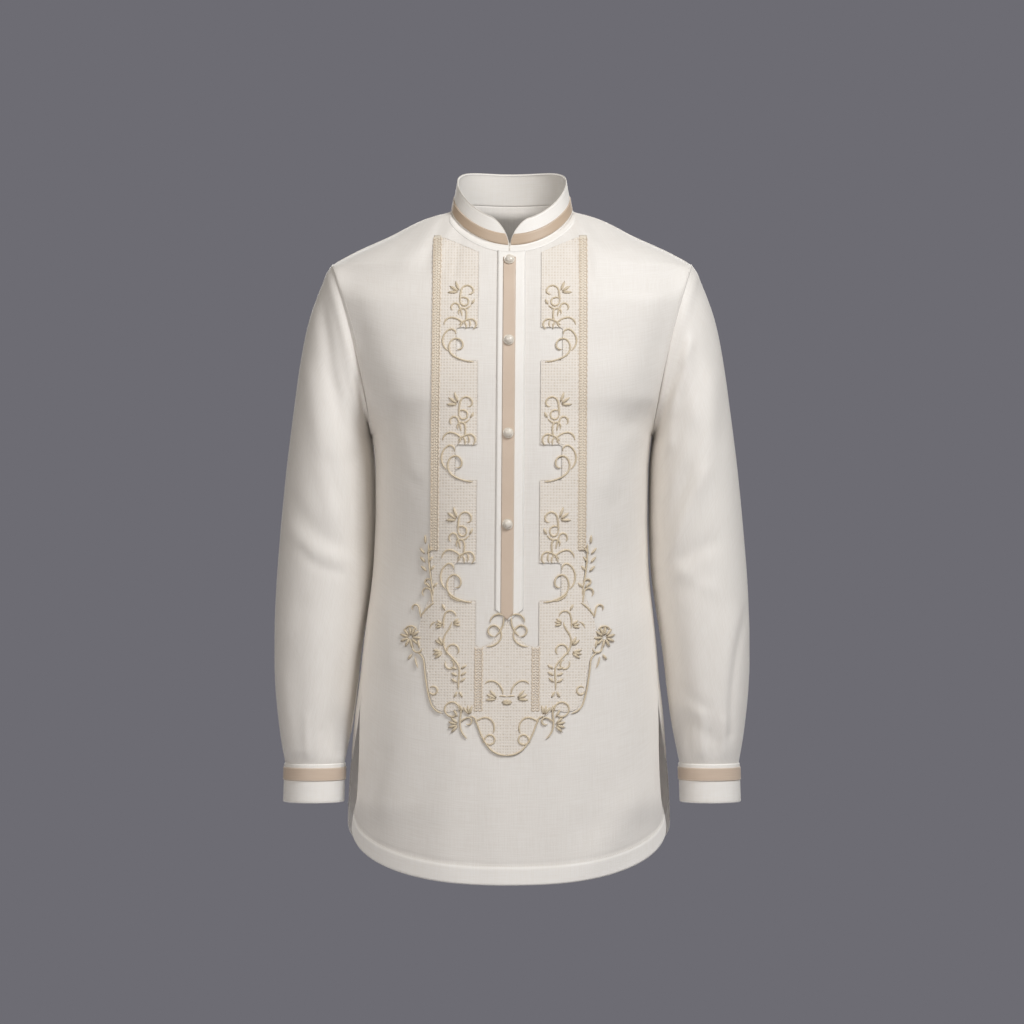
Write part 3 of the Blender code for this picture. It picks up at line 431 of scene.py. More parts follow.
# %% [markdown]
# ## Folds
# A fold is a soft ridge, or a trough where its rise is negative, along a bowed line in the front view. The
# broad ones are the solid's own. The finer ones, which only cloth shows, follow them. They differ in
# length, depth and spacing, because worn cloth pulls unevenly from the neck, armholes and elbows. A cloth
# simulation could drape the shirt too, but drawn folds can be put where they belong, and are the same each
# time.

# %% Tables of the folds
# Each line is one fold: across and height where it starts, the same where it ends, its bow, its spread
# and its rise.
FRONT_FOLDS = read_rows("""
-92 -25 -120 -58 0 12 2.5
82 -22 108 -50 0 12 2.5
-190 -110 -158 -205 0 16 -3
190 -105 158 -200 0 16 -3
150 -690 104 -745 0 22 4
-120 -560 -150 -700 0 26 3
118 -500 140 -660 0 26 2.5
-71 -22 -87 -70 3 6 1.6
-84 -18 -99 -60 2 5 -1.3
-60 -36 -66 -76 0 5 -0.9
80 -20 100 -74 -3 7 1.5
92 -16 116 -66 -2 6 -1.2
68 -30 74 -72 0 5 -0.9
-176 -150 -140 -262 10 9 -1.3
-160 -230 -118 -300 -8 10 1.1
-154 -262 -110 -322 6 7 -0.9
172 -160 142 -250 -8 8 -1.1
158 -250 112 -318 8 10 1.2
152 -284 118 -346 -5 7 -0.8
-150 -330 -140 -520 6 12 1.3
-112 -380 -122 -560 -8 16 -1.2
146 -340 150 -480 -6 12 1
108 -430 112 -600 8 15 -1.1
-60 -640 -78 -760 6 20 1.3
20 -650 26 -772 -5 22 -1.2
74 -640 66 -760 5 18 1.2
-20 -668 -14 -776 4 16 0.9
-150 -640 -160 -716 4 9 -1.4
164 -640 168 -712 -3 8 1.5
""")
BACK_FOLDS = read_rows("""
-104 -330 -128 -740 0 27 7
-58 -410 -66 -760 0 24 -6
-18 -300 -14 -765 0 26 6.5
34 -420 36 -760 0 23 -6
84 -350 92 -750 0 27 7.5
128 -470 140 -730 0 22 -5
-152 -480 -160 -720 0 20 -4
-70 -36 -150 -120 6 12 1.6
66 -34 146 -116 -7 11 1.5
-160 -190 -60 -250 -12 12 1.4
158 -196 70 -262 10 13 1.5
-150 -262 -70 -300 -6 9 -1.1
148 -268 62 -316 8 10 -1.2
-84 -300 -92 -560 9 11 -1.6
10 -330 14 -620 -8 12 -1.4
60 -300 62 -520 7 10 1.3
110 -300 116 -480 -6 9 -1.3
""")
SLEEVE_FRONT_FOLDS = read_rows("""
-206 -78 -171 -250 3 6 4.6
-222 -112 -186 -290 5 9 -3.2
-238 -200 -208 -350 -1 13 2.4
-256 -342 -200 -394 7 11 -1.5
-259 -375 -187 -410 9 11 1.6
-214 -300 -190 -372 0 11 -1.7
-267 -561 -262 -630 0 12 2
206 -160 184 -272 4 8 2.4
196 -190 172 -262 4 6 -2.4
236 -210 222 -318 0 14 2.6
220 -312 184 -402 0 9 2.2
203 -316 172 -392 0 11 -2.4
229 -392 188 -412 0 11 -1.8
181 -413 226 -441 0 10 1.3
184 -449 216 -434 0 10 -0.9
274 -474 256 -612 6 5 -2.3
262 -480 246 -600 5 11 1.6
200 -564 222 -582 0 8 -1
204 -582 234 -592 0 8 0.9
206 -598 228 -616 0 8 -1.1
234 -596 239 -632 0 7 -1
-186 -300 -176 -400 -6 9 -2
-246 -398 -202 -424 5 6 -1.2
-186 -430 -196 -520 -4 10 1.4
-246 -470 -250 -590 5 14 -1.2
204 -96 212 -240 6 9 2.2
232 -150 246 -262 -7 11 -1.7
190 -250 178 -312 -5 8 -1.8
214 -470 220 -560 5 13 1.3
-206 -600 -210 -646 1 4 1.1
-222 -610 -223 -647 -1 4 -1
-240 -596 -238 -646 1 5 1.1
206 -604 208 -646 1 4 -1.1
220 -590 221 -646 -1 5 1.3
231 -612 230 -647 1 4 -1.1
247 -600 245 -646 -1 5 1.2
""")
SLEEVE_VALLEYS = read_rows("""
-176 -205 -163 -262 0 6 12
-161 -262 -190 -600 -10 21 24
182 -150 162 -262 -3 9 6
161 -262 190 -600 10 16 14
""")
SLEEVE_BACK_FOLDS = read_rows("""
-240 -120 -205 -250 0 18 4.5
-250 -380 -200 -402 0 16 -4
-254 -414 -208 -436 0 16 4
-228 -560 -232 -640 0 11 5
240 -118 206 -255 0 18 4.5
252 -378 202 -404 0 16 -4
256 -410 210 -438 0 16 4
230 -556 234 -640 0 11 5
-214 -140 -190 -236 5 8 -1.6
-246 -300 -204 -352 6 9 1.5
-238 -440 -200 -470 -4 7 -1.2
-246 -560 -248 -640 2 6 -1.8
-212 -570 -214 -642 -2 6 -1.6
214 -136 190 -240 -5 8 -1.6
248 -296 206 -350 -6 9 1.5
240 -446 202 -474 4 7 -1.2
248 -566 250 -642 -2 6 -1.8
214 -572 216 -643 2 6 -1.6
""")
print(len(FRONT_FOLDS), "folds on the front,", len(BACK_FOLDS), "on the back")


# %% Raise the cloth along its folds
def ease(s):
    """From 0 to 1, with a gentle start and end."""
    s = np.clip(s, 0.0, 1.0)
    return s * s * (3 - 2 * s)


def unit(v):
    """Vectors of the same direction, one long."""
    return v / np.maximum(np.linalg.norm(v, axis=-1, keepdims=True), 1e-9)


def fold_rise(folds, x, z):
    """How far the folds lift the cloth at points of the front view."""
    rise = np.zeros(np.broadcast(x, z).shape)
    for x0, z0, x1, z1, bow, spread, height in folds:
        length = math.hypot(x1 - x0, z1 - z0)
        ax, az = (x1 - x0) / length, (z1 - z0) / length
        down = (x - x0) * ax + (z - z0) * az
        share = np.clip(down / length, 0, 1)
        off = (x - x0) * az - (z - z0) * ax - bow * 4 * share * (1 - share)
        past = np.maximum(np.maximum(-down, down - length), 0.0)
        rise += height * np.exp(-((off / spread) ** 2) - (past / (FOLD_TAPER * spread)) ** 2)
    return rise


print(f"a deep fold lifts the back's cloth by {fold_rise(BACK_FOLDS, -110.0, -500.0):.1f} mm")

# %% [markdown]
# ## The body panels as surfaces
# Each horizontal section of a panel is a superellipse: flat across the chest and rounder at the side. For
# the front, one function gives the cloth's depth at any point of the front view, and the placket, braid and
# embroidery are laid on the front by it. Another reads the same face by a place across the panel.


# %% Neckline and armhole
def neck_point(turn):
    """The neckline at an angle: 0 at the centre front, a quarter turn at the left, pi at the back."""
    y = -np.where(np.cos(turn) > 0, NECK_FRONT, NECK_BACK) * np.cos(turn)
    z = NECK_SLOPE * y + NECK_BEND * y * y
    return np.stack([NECK_HALF_WIDTH * np.sin(turn), NECK_SIDE_Y + y, z], -1)


def armhole_point(turn):
    """The armhole of the wearer's left: 0 at the shoulder tip, a quarter turn at the front, pi underarm."""
    turn = np.asarray(turn, float)
    point = (SHOULDER_TIP + UNDERARM) / 2 + (SHOULDER_TIP - UNDERARM) / 2 * np.cos(turn)[..., None]
    point[..., 0] -= ARMHOLE_BOW * np.sin(turn) ** 2
    point[..., 1] -= ARMHOLE_HALF_DEPTH * np.sin(turn)
    return point


def panel_edge(height, back):
    """Where the side boundary of a panel lies at a height: shoulder seam, armhole, then side seam."""
    half = (SHOULDER_TIP[2] - UNDERARM[2]) / 2
    turn = np.arccos(np.clip((height - UNDERARM[2]) / half - 1, -1, 1))
    arm = armhole_point(-turn if back else turn)
    side_x, side_y = smooth(SIDE, "edge", height), smooth(SIDE, "edge_y", height)
    if back:
        opened = ease((VENT_TOP - height) / VENT_OVER)
        side_x = side_x + (smooth(SIDE, "side", height) - VENT_BACK_IN - side_x) * opened
        side_y = side_y + (VENT_BACK_Y - side_y) * opened
    zones = [height >= 0, height >= SHOULDER_TIP[2], height >= UNDERARM[2]]
    shoulder_x = smooth(SHOULDER, "half_width", -height)
    x = np.select(zones, [NECK_HALF_WIDTH, shoulder_x, arm[..., 0]], side_x)
    return x, np.select(zones, [NECK_SIDE_Y, NECK_SIDE_Y, arm[..., 1]], side_y)


def centre_line(height):
    """Where the line of buttons lies across: it hangs a little off the middle, more so lower down."""
    return CENTRE_OFF + CENTRE_LEAN * (np.asarray(height) - CENTRE_TOP)


def hang(height):
    """How far aside the loose cloth hangs below the arms."""
    return -HANG_ASIDE * ease((UNDERARM[2] - np.asarray(height, float)) / HANG_OVER)


print("the neckline's lowest point:", neck_point(0.0).round(1))


# %% Surface of the front
def eased_edge(height, edge_y):
    """The side boundary's depth, eased where the armhole turns sharply at its two ends."""
    line = np.interp(height, (UNDERARM[2], SHOULDER_TIP[2]), (UNDERARM[1], SHOULDER_TIP[1]))
    ramp = ease((height - UNDERARM[2]) / ARMHOLE_EASE) * ease((SHOULDER_TIP[2] - height) / ARMHOLE_EASE)
    beside_arm = (height > UNDERARM[2]) & (height < SHOULDER_TIP[2])
    return np.where(beside_arm, line + (edge_y - line) * ramp, edge_y)


def front_at(x, height):
    """The front panel's outer face at points of the front view."""
    x, height = np.broadcast_arrays(np.asarray(x, float), np.asarray(height, float))
    edge, edge_y = panel_edge(height, False)
    sharp_y, edge_y = edge_y, eased_edge(height, edge_y)
    flat, round_ = smooth(FRONT, "flat", height), smooth(FRONT, "round", height)
    depth = smooth(FRONT, "depth", height) + edge_y
    root = np.sqrt(np.maximum(NECK_SLOPE**2 + 4 * NECK_BEND * height, 0))
    neck_y = (root - NECK_SLOPE) / (2 * NECK_BEND)
    neck_x = NECK_HALF_WIDTH * np.sqrt(np.clip(1 - (neck_y / NECK_FRONT) ** 2, 0, 1))
    fall = np.maximum(1e-9, 1 - np.minimum(neck_x / edge, 1) ** flat)
    depth = np.where(height > -NECK_FRONT_DROP, -neck_y / fall ** (1 / round_), depth)
    s = np.minimum(np.abs(x - hang(height)) / edge, 1)
    fade = 1 - (np.arcsin(s) / (np.pi / 2)) ** FOLD_EDGE
    y = edge_y - depth * (1 - s**flat) ** (1 / round_) - fold_rise(FRONT_FOLDS, x, height) * fade
    sharp = SHARP_AT_TIP + (SHARP_BELOW - SHARP_AT_TIP) * ease((SHARP_TOP - height) / SHARP_OVER)
    return np.stack([x, y + (sharp_y - edge_y) * s**sharp, height], -1)


def front_normal(x, z):
    """The outward direction of the front panel at points of the front view."""
    step = 0.5
    dx = front_at(x + step, z) - front_at(x - step, z)
    dz = front_at(x, z + step) - front_at(x, z - step)
    return unit(np.cross(dx, dz))


def on_front(x, z, proud):
    """Points proud of the front panel, and the outward direction there."""
    out = front_normal(x, z)
    return front_at(x, z) + out * np.asarray(proud)[..., None], out


def front_point(across, height):
    """The same face, from -1 at the right side boundary to 1 at the left."""
    edge, _y = panel_edge(height, False)
    edge = edge - FRONT_DRAWN_IN * ease((DRAWN_TOP - height) / DRAWN_OVER)
    return front_at(hang(height) + np.sign(across) * edge * np.sin(np.abs(across) * np.pi / 2), height)


print("depth of the cloth at the middle of the chest:", front_at(0.0, -300.0).round(1))


# %% Surface of the back
def side_of_back(height):
    """The widest point of the back panel's section, where it starts to wrap round to the front."""
    edge, edge_y = panel_edge(height, True)
    along = (edge - NECK_HALF_WIDTH) / (SHOULDER_TIP[0] - NECK_HALF_WIDTH)
    wrap = np.where((height > SHOULDER_TIP[2]) & (height < 0), 1 - (2 * along - 1) ** 4, 0)
    below = height < UNDERARM[2]
    x = np.where(below, smooth(SIDE, "side", height), edge + SHOULDER_WRAP * wrap)
    return x, np.where(below, 0.0, eased_edge(height, edge_y) + SHOULDER_WRAP_DEPTH * wrap)


def back_point(across, height):
    """The back panel's outer face, from -1 at the right side boundary to 1 at the left."""
    edge, edge_y = panel_edge(height, True)
    side, side_y = side_of_back(height)
    flat, round_ = smooth(BACK, "flat", height), smooth(BACK, "round", height)
    depth = smooth(BACK, "depth", height) - side_y
    main = QUARTER_ARC * np.hypot(side, depth)
    share = main / (main + np.hypot(side - edge, side_y - edge_y))
    far = np.abs(across)
    s = np.sin(np.minimum(far / share, 1) * np.pi / 2)
    w = np.clip((far - share) / np.maximum(1 - share, 1e-9), 0, 1)
    x = np.where(far <= share, side * s, side - (side - edge) * w * w) * np.sign(across)
    bowl = side_y + depth * (1 - s**flat) ** (1 / round_)
    y = np.where(far <= share, bowl, side_y + (edge_y - side_y) * w)
    y = y + fold_rise(BACK_FOLDS, x, height) * (1 - far**FOLD_EDGE)
    return np.stack([x + hang(height), y, height], -1)


print("and at the middle of the back:", back_point(np.array(0.0), np.array(-300.0)).round(1))

# %% [markdown]
# ## From a surface to a sheet of cloth
# A panel is laid out as a grid, with rows that follow the hem at the bottom, level out at the chest and
# follow the neckline at the top, as the threads of a worn shirt roughly do. The grid's arc lengths become
# the cloth's UV map in metres, so every weave keeps its real size, and Solidify gives the sheet its
# thickness.

# %% Grids of the two panels
COLUMNS = 132
BACK_WIDTH_SHARE = 0.97  # how far across the back its widest place lies
HEM_ROWS, SIDE_ROWS, ARMHOLE_ROWS, SHOULDER_ROWS = 11, 110, 52, 34


def neckline_turn(across, back):
    """The angles round the neckline at which a panel's grid lines meet it."""
    s = np.sin(np.abs(across) * np.pi / 2)
    if back:
        return np.pi - np.arcsin(s)
    low, high = np.zeros_like(s), np.full_like(s, np.pi / 2)
    for _ in range(40):
        turn = (low + high) / 2
        point = neck_point(turn)
        edge, _y = panel_edge(np.minimum(point[..., 2], -1e-6), False)
        short = point[..., 0] / edge < s
        low, high = np.where(short, turn, low), np.where(short, high, turn)
    return low


def panel_rows(neck_height):
    """Each row's height at the centre line and at the side, and its shares of the chest and of the neck."""
    s = np.arange(HEM_ROWS) / HEM_ROWS
    rows = [np.stack([HEM_CENTRE + HEM_BAND * s, HEM_CORNER + HEM_BAND * s, 0 * s, 0 * s], -1)]
    s = np.arange(SIDE_ROWS) / SIDE_ROWS
    centre = HEM_CENTRE + HEM_BAND + (CENTRE_AT_UNDERARM - HEM_CENTRE - HEM_BAND) * s
    side = HEM_CORNER + HEM_BAND + (UNDERARM[2] - HEM_CORNER - HEM_BAND) * s
    rows.append(np.stack([centre, side, ease(s), 0 * s], -1))
    s = np.arange(ARMHOLE_ROWS) / ARMHOLE_ROWS
    centre = CENTRE_AT_UNDERARM + (CENTRE_AT_TIP - CENTRE_AT_UNDERARM) * s
    rows.append(np.stack([centre, armhole_point(np.pi * (1 - s))[..., 2], 1 + 0 * s, 0 * s], -1))
    s = np.arange(SHOULDER_ROWS + 1) / SHOULDER_ROWS
    width = SHOULDER_TIP[0] + (NECK_HALF_WIDTH - SHOULDER_TIP[0]) * s
    drop = np.interp(width, SHOULDER["half_width"], SHOULDER["drop"])
    centre = CENTRE_AT_TIP + (neck_height - CENTRE_AT_TIP) * s
    rows.append(np.stack([centre, -drop, 1 + 0 * s, ease(s)], -1))
    return np.concatenate(rows)


def panel_grid(point, back):
    """The outer face of a body panel as a grid of points, rows from the hem up."""
    neck_height = NECK_BACK_RISE if back else -NECK_FRONT_DROP
    centre, side, chest, neck = (column[:, None] for column in panel_rows(neck_height).T)
    across = np.linspace(-1, 1, COLUMNS + 1)[None, :]
    s = np.sin(np.abs(across) * np.pi / 2)
    wide = np.sin(np.minimum(np.abs(across) / BACK_WIDTH_SHARE, 1) * np.pi / 2) if back else s
    hem_share = 1 - (1 - wide**HEM_CURVE) ** (1 / HEM_CURVE)
    climbed = neck_point(neckline_turn(across, back))[..., 2]
    neck_share = (NECK_BACK_RISE - climbed) / NECK_BACK_RISE if back else 1 + climbed / NECK_FRONT_DROP
    share = (1 - chest) * hem_share + chest * (1 - neck) * s**ROW_CURVE + chest * neck * neck_share
    height = centre + (side - centre) * share
    return point(np.broadcast_to(across, height.shape), height)


front_grid = panel_grid(front_point, False)
back_grid = panel_grid(back_point, True)
print("front grid", front_grid.shape, "back grid", back_grid.shape)

# %% Directions and lengths on a grid
def outward_normals(grid, closed=False):
    """The outward direction at each point of a grid whose rows run round a body."""
    middle = grid.mean(axis=1, keepdims=True)
    if closed:
        across = np.roll(grid, -1, axis=1) - np.roll(grid, 1, axis=1)
    else:
        across = np.gradient(grid, axis=1)
        middle = middle * (1, 0, 1)
    normals = unit(np.cross(across, np.gradient(grid, axis=0)))
    outward = np.sum(normals * (grid - middle), axis=-1).mean()
    return normals if outward > 0 else -normals


def run_lengths(points, axis=0):
    """How far each point lies along its own path, row or column, from zero at the start."""
    return np.insert(np.linalg.norm(np.diff(points, axis=axis), axis=-1).cumsum(axis), 0, 0.0, axis)


def arc_uv(grid, closed=False):
    """Cloth coordinates in metres: the arc length across each row, and up each column."""
    ring = np.concatenate([grid, grid[:, :1]], axis=1) if closed else grid
    u = run_lengths(ring, 1)
    u -= u.mean(axis=1, keepdims=True)
    return np.stack([u, run_lengths(ring)], -1) * MM


print(f"the front's cloth is {run_lengths(front_grid)[-1].max():.0f} mm long where it is longest")


# %% Put a mesh in the scene
def put_in_scene(name, points, faces, uv, finish):
    """A smooth mesh object from points in millimetres; uv holds one pair for each corner of each face."""
    mesh = bpy.data.meshes.new(name)
    mesh.from_pydata((points * MM).tolist(), [], faces)
    layer = mesh.uv_layers.new(name="cloth")
    layer.data.foreach_set("uv", np.asarray(uv, np.float32).ravel())
    mesh.materials.append(finish)
    mesh.shade_smooth()
    piece = bpy.data.objects.new(name, mesh)
    bpy.context.collection.objects.link(piece)
    return piece


def put_small_faces(name, points, faces, uv, finish):
    """The same from one uv pair for each point, where a face that names a point twice is a triangle."""
    faces = [tuple(dict.fromkeys(face)) for face in faces.tolist()]
    return put_in_scene(name, points, faces, uv[np.concatenate(faces)], finish)


def only(piece):
    """Select one piece alone, for Blender's own tools."""
    bpy.ops.object.select_all(action="DESELECT")
    bpy.context.view_layer.objects.active = piece
    piece.select_set(True)


def apply_modifiers(piece):
    """Apply a piece's modifiers, so that its mesh is the final one."""
    only(piece)
    for modifier in list(piece.modifiers):
        bpy.ops.object.modifier_apply(modifier=modifier.name)
    piece.select_set(False)


print("meshes are made in millimetres and kept in metres, 1 mm =", MM)

# %% Turn a grid into a sheet
CLOTH_SHOWN = 0.7  # thickness of the sheets made here


def sheet(name, grid, normals, finish, thick=CLOTH_SHOWN, closed=False):
    """A sheet of cloth from the grid of its outer face, thickened inwards."""
    rows, columns = grid.shape[:2]
    uv = arc_uv(grid, closed)
    index = np.arange(rows * columns).reshape(rows, columns)
    index = np.concatenate([index, index[:, :1]], axis=1) if closed else index
    corners = [index[:-1, :-1], index[:-1, 1:], index[1:, 1:], index[1:, :-1]]
    faces = np.stack(corners, -1).reshape(-1, 4)
    corner_uv = np.stack([uv[:-1, :-1], uv[:-1, 1:], uv[1:, 1:], uv[1:, :-1]], 2).reshape(-1, 4, 2)
    row, column = rows // 2, columns // 2
    across = grid[row, column + 1] - grid[row, column]
    up = grid[row + 1, column] - grid[row, column]
    if np.dot(np.cross(across, up), normals[row, column]) < 0:
        faces, corner_uv = faces[:, ::-1], corner_uv[:, ::-1]
    piece = put_in_scene(name, grid.reshape(-1, 3), faces.tolist(), corner_uv, finish)
    wall = piece.modifiers.new("thickness", "SOLIDIFY")
    wall.thickness = thick * MM
    wall.offset = -1.0
    apply_modifiers(piece)
    return piece


def join(name, *pieces):
    """One piece from several, with their materials kept."""
    bpy.ops.object.select_all(action="DESELECT")
    for piece in pieces:
        piece.select_set(True)
    bpy.context.view_layer.objects.active = pieces[0]
    bpy.ops.object.join()
    pieces[0].name = name
    pieces[0].select_set(False)
    return pieces[0]


def count(*pieces):
    """How many triangles the pieces have."""
    return sum(len(p.vertices) - 2 for piece in pieces for p in piece.data.polygons)


print("sheets are", CLOTH_SHOWN, "mm thick, so that they have an inside")

# %% [markdown]
# ## Front and back
# The hem is the cloth turned up twice and stitched, so its lowest 22 mm are thicker and whiter and end in a
# small dip where the stitches pull. Beside each seam the cloth sinks a little too, because the seam holds
# it. A real second layer would be hidden inside the first, so the hem is the same sheet, pushed out.

# %% Body panels
SEAM_DIP, SEAM_REACH, SEAM_COLUMNS, SEAM_PULL = 0.3, 2.0, 4, 0.1
HEM_PROUD, HEM_STEP, HEM_DIP, HEM_DIP_REACH = 0.8, 1.5, 0.5, 2.0


def seamed(grid, normals):
    """Draw a panel in a little along its side boundaries, and thicken its hem."""
    grid = grid.copy()
    for edge, step in ((0, 1), (-1, -1)):
        first = grid[:, edge].copy()
        grid[:, edge] += unit(grid[:, edge + step] - first) * SEAM_PULL
        for k in range(SEAM_COLUMNS):
            away = np.linalg.norm(grid[:, edge + k * step] - first, axis=-1, keepdims=True)
            grid[:, edge + k * step] -= normals[:, edge + k * step] * SEAM_DIP * np.exp(-away / SEAM_REACH)
    up = run_lengths(grid)
    dip = HEM_DIP * np.exp(-(((up - HEM_BAND) / HEM_DIP_REACH) ** 2))
    return grid + normals * (HEM_PROUD * ease((HEM_BAND - up) / HEM_STEP) - dip)[..., None]


front_out, back_out = outward_normals(front_grid), outward_normals(back_grid)
body_front = sheet("shirt_front", seamed(front_grid, front_out), front_out, JUSI)
body_back = sheet("shirt_back", seamed(back_grid, back_out), back_out, JUSI)
one_side = (len(front_grid) - 1) * COLUMNS
for panel in (body_front, body_back):
    panel.data.materials.append(LINED_JUSI)
    for face in panel.data.polygons:
        if face.index < 2 * one_side and face.index % one_side < HEM_ROWS * COLUMNS:
            face.material_index = 1
print("body panels:", count(body_front, body_back), "triangles")

# %% [markdown]
# ## Sleeves
# A sleeve is one piece of cloth closed by a seam along its inner side. Its rings lean at the armhole and
# level out at the elbow, and the cloth is gathered a little into the cuff. A bent cylinder could be a start
# too, but rings that are read from the table keep the sleeve on its solid all the way down.

# %% Sleeves
RING_POINTS, SLEEVE_RINGS, WRIST = 120, 150, 20  # WRIST is the number of the table's last ring
ARMHOLE_RINGS, FOLD_RINGS, VALLEY_RINGS, WRIST_RINGS = 1.5, 2.5, 2.0, 1.2  # rings over which each fades
FOLD_WRAP, VALLEY_TURN = 0.7, 1.6
SLEEVE_HEAD, HEAD_AT, HEAD_REACH, SLEEVE_TUCK = 1.0, 7.0, 5.0, 2.0
INNER_SEAM_DIP, IN_CUFF, IN_CUFF_SUNK = 0.6, 2.5, 0.1


def ring_point(row, turn, proud=0.0):
    """Points of a tube's rings: 0 at the outer side, a quarter turn at the front, pi at the inner side."""
    outermost = np.stack([row["out_x"], 0 * row["out_x"], row["out_z"]], -1)
    innermost = np.stack([row["in_x"], 0 * row["in_x"], row["in_z"]], -1)
    half = (outermost - innermost) / 2
    grow = 1 + proud / np.linalg.norm(half, axis=-1, keepdims=True)
    point = (outermost + innermost) / 2 + half * grow * np.cos(turn)[..., None]
    point[..., 1] += row["mid_y"] - (row["half_depth"] + proud) * np.sin(turn)
    return point


def sleeve_grid(side):
    """The outer face of a sleeve, rows from the armhole to the wrist."""
    turn = 2 * np.pi * np.arange(RING_POINTS) / RING_POINTS
    ring = np.linspace(0, WRIST, SLEEVE_RINGS)
    row = {name: smooth(SLEEVE, name, ring)[:, None] for name in SLEEVE if name != "ring"}
    turns = np.broadcast_to(turn, (SLEEVE_RINGS, RING_POINTS))
    grid = ring_point(row, turns)
    bowed = grid.copy()
    bowed[..., 0] -= ARMHOLE_BOW * np.sin(turn) ** 2
    bowed[..., 1] += (SHOULDER_TIP[1] - UNDERARM[1]) / 2 * np.cos(turn)
    near = ease(1 - ring / ARMHOLE_RINGS)[:, None, None]
    grid = (grid * (1 - near) + bowed * near) * (side, 1, 1)
    out = outward_normals(grid, closed=True)
    facing, before_cuff = np.sin(turns), ease((WRIST - ring) / WRIST_RINGS)
    front = fold_rise(SLEEVE_FRONT_FOLDS, grid[..., 0], grid[..., 2])
    back = fold_rise(SLEEVE_BACK_FOLDS, grid[..., 0], grid[..., 2])
    rise = np.where(facing > 0, front, back) * np.abs(facing) ** FOLD_WRAP
    rise *= (ease(ring / FOLD_RINGS) * before_cuff)[:, None]
    from_armhole = run_lengths(grid).mean(1)[:, None]
    rise -= SEAM_DIP * np.exp(-from_armhole / SEAM_REACH)
    rise += SLEEVE_HEAD * np.exp(-(((from_armhole - HEAD_AT) / HEAD_REACH) ** 2))
    seam = np.abs(turns - np.pi) * row["half_depth"]
    rise -= INNER_SEAM_DIP * np.exp(-seam / SEAM_REACH)
    grid = grid + out * rise[..., None]
    valley = fold_rise(SLEEVE_VALLEYS, grid[..., 0], grid[..., 2]) * ease(facing * VALLEY_TURN + 0.5)
    grid[..., 1] += valley * (ease(ring / VALLEY_RINGS) * before_cuff)[:, None]
    tucked = grid[:1] + unit(grid[:1] - grid[1:2]) * SLEEVE_TUCK - out[:1] * SEAM_DIP
    in_cuff = grid[-1:] - (0, 0, IN_CUFF) - out[-1:] * IN_CUFF_SUNK
    return np.concatenate([tucked, grid, in_cuff]), np.concatenate([out[:1], out, out[-1:]])


sleeves = {}
for word, side in SIDES:
    grid, out = sleeve_grid(side)
    sleeves[word] = sheet(f"shirt_sleeve_{word}", grid, out, JUSI, closed=True)
print("sleeves:", count(*sleeves.values()), "triangles")

# %% [markdown]
# ## Cuffs and collar
# Both are two layers of cloth over an interlining, so they are thicker and stand in clean curves. The cuff
# laps over itself at the outer back of the wrist, where a button closes it. The collar is a stand that
# leans in towards the top, and its front ends are rounded away from a narrow gap. Each is a grid whose rows
# stand close together at its edges, which gives a pressed fold where a plain extruded band would have a
# sharp corner.

# %% Cuffs
CUFF_BOTTOM, CUFF_TOP, CUFF_PROUD, STIFFENED = -694.0, -648.3, 1.0, 1.6
CUFF_START, CUFF_LIFT_START, CUFF_OVERLAP, CUFF_SPACING = 236.0, 345.0, 20.0, 2.5  # in degrees
LAP = 2.85  # how far the lapped end is lifted
EDGE_ROUNDED = (0.9, 0.25)  # how far a band's last two rows are rounded off
CUFF = table("""
height out_x in_x half_depth mid_y
-694 268 198 37.5 -18
-648 266.5 196.4 38 -18
""")


def cuff_band(side, heights, proud, first):
    """A band round the wrist, from its first angle until it laps over its own start."""
    turned = np.arange(first, 360 + CUFF_OVERLAP + 0.01, CUFF_SPACING)[None, :]
    lift = LAP * ease((turned - CUFF_LIFT_START) / (360 - CUFF_LIFT_START))
    heights = np.asarray(heights, float)[:, None]
    row = {name: smooth(CUFF, name, heights) for name in CUFF if name != "height"}
    row.update(out_z=heights, in_z=heights)
    turns = np.broadcast_to(np.radians(CUFF_START + turned), (len(heights), turned.shape[1]))
    base = ring_point(row, turns)
    out = unit(ring_point(row, turns, 1.0) - base) * (side, 1, 1)
    return base * (side, 1, 1) + out * (np.asarray(proud) + lift)[..., None], out


def rounded_edges(low, high, soft, count_between):
    """Heights of a band's rows, close together at its edges, and how far each edge row is rounded off."""
    heights = [low, low + soft / 3, low + soft]
    heights += list(np.linspace(low + soft, high - soft, count_between)[1:-1])
    heights += [high - soft, high - soft / 3, high]
    off = [*EDGE_ROUNDED] + [0.0] * count_between + [*EDGE_ROUNDED[::-1]]
    return np.array(heights), -np.array(off)[:, None]


cuffs = {}
for word, side in SIDES:
    heights, off = rounded_edges(CUFF_BOTTOM, CUFF_TOP, 1.2, 14)
    grid, out = cuff_band(side, heights, CUFF_PROUD + off, 0)
    cuffs[word] = sheet(f"shirt_cuff_{word}", grid, out, LINED_JUSI, thick=STIFFENED)
print("cuffs:", count(*cuffs.values()), "triangles")

# %% Shape of the collar
COLLAR_HEIGHT, COLLAR_FRONT_LESS = 35.0, 4.5
COLLAR_TOP_HALF_WIDTH, COLLAR_TOP_Y, COLLAR_TOP_HALF_DEPTH = 64.3, -6.9, 52.7
COLLAR_OPENING, COLLAR_END_GAP, COLLAR_CORNER, COLLAR_CORNER_POWER = -2.9, 0.7, 23.0, 1.7
COLLAR_END_LIMIT, COLLAR_COLUMNS, COLLAR_CROWDING = 0.985, 81, 1.35
SEAM_GAP, COLLAR_LAP, COLLAR_TUCK = 0.3, 7.4, 1.4
LAP_PROUD, LAP_BLEND, LAP_FADE = 0.75, 2.5, 0.35
BAND_PRESS, BAND_SOFT = 0.75, 1.6
EDGE_CORD, EDGE_CORD_SUNK, EDGE_CORD_RUN = 1.1, -0.35, 9


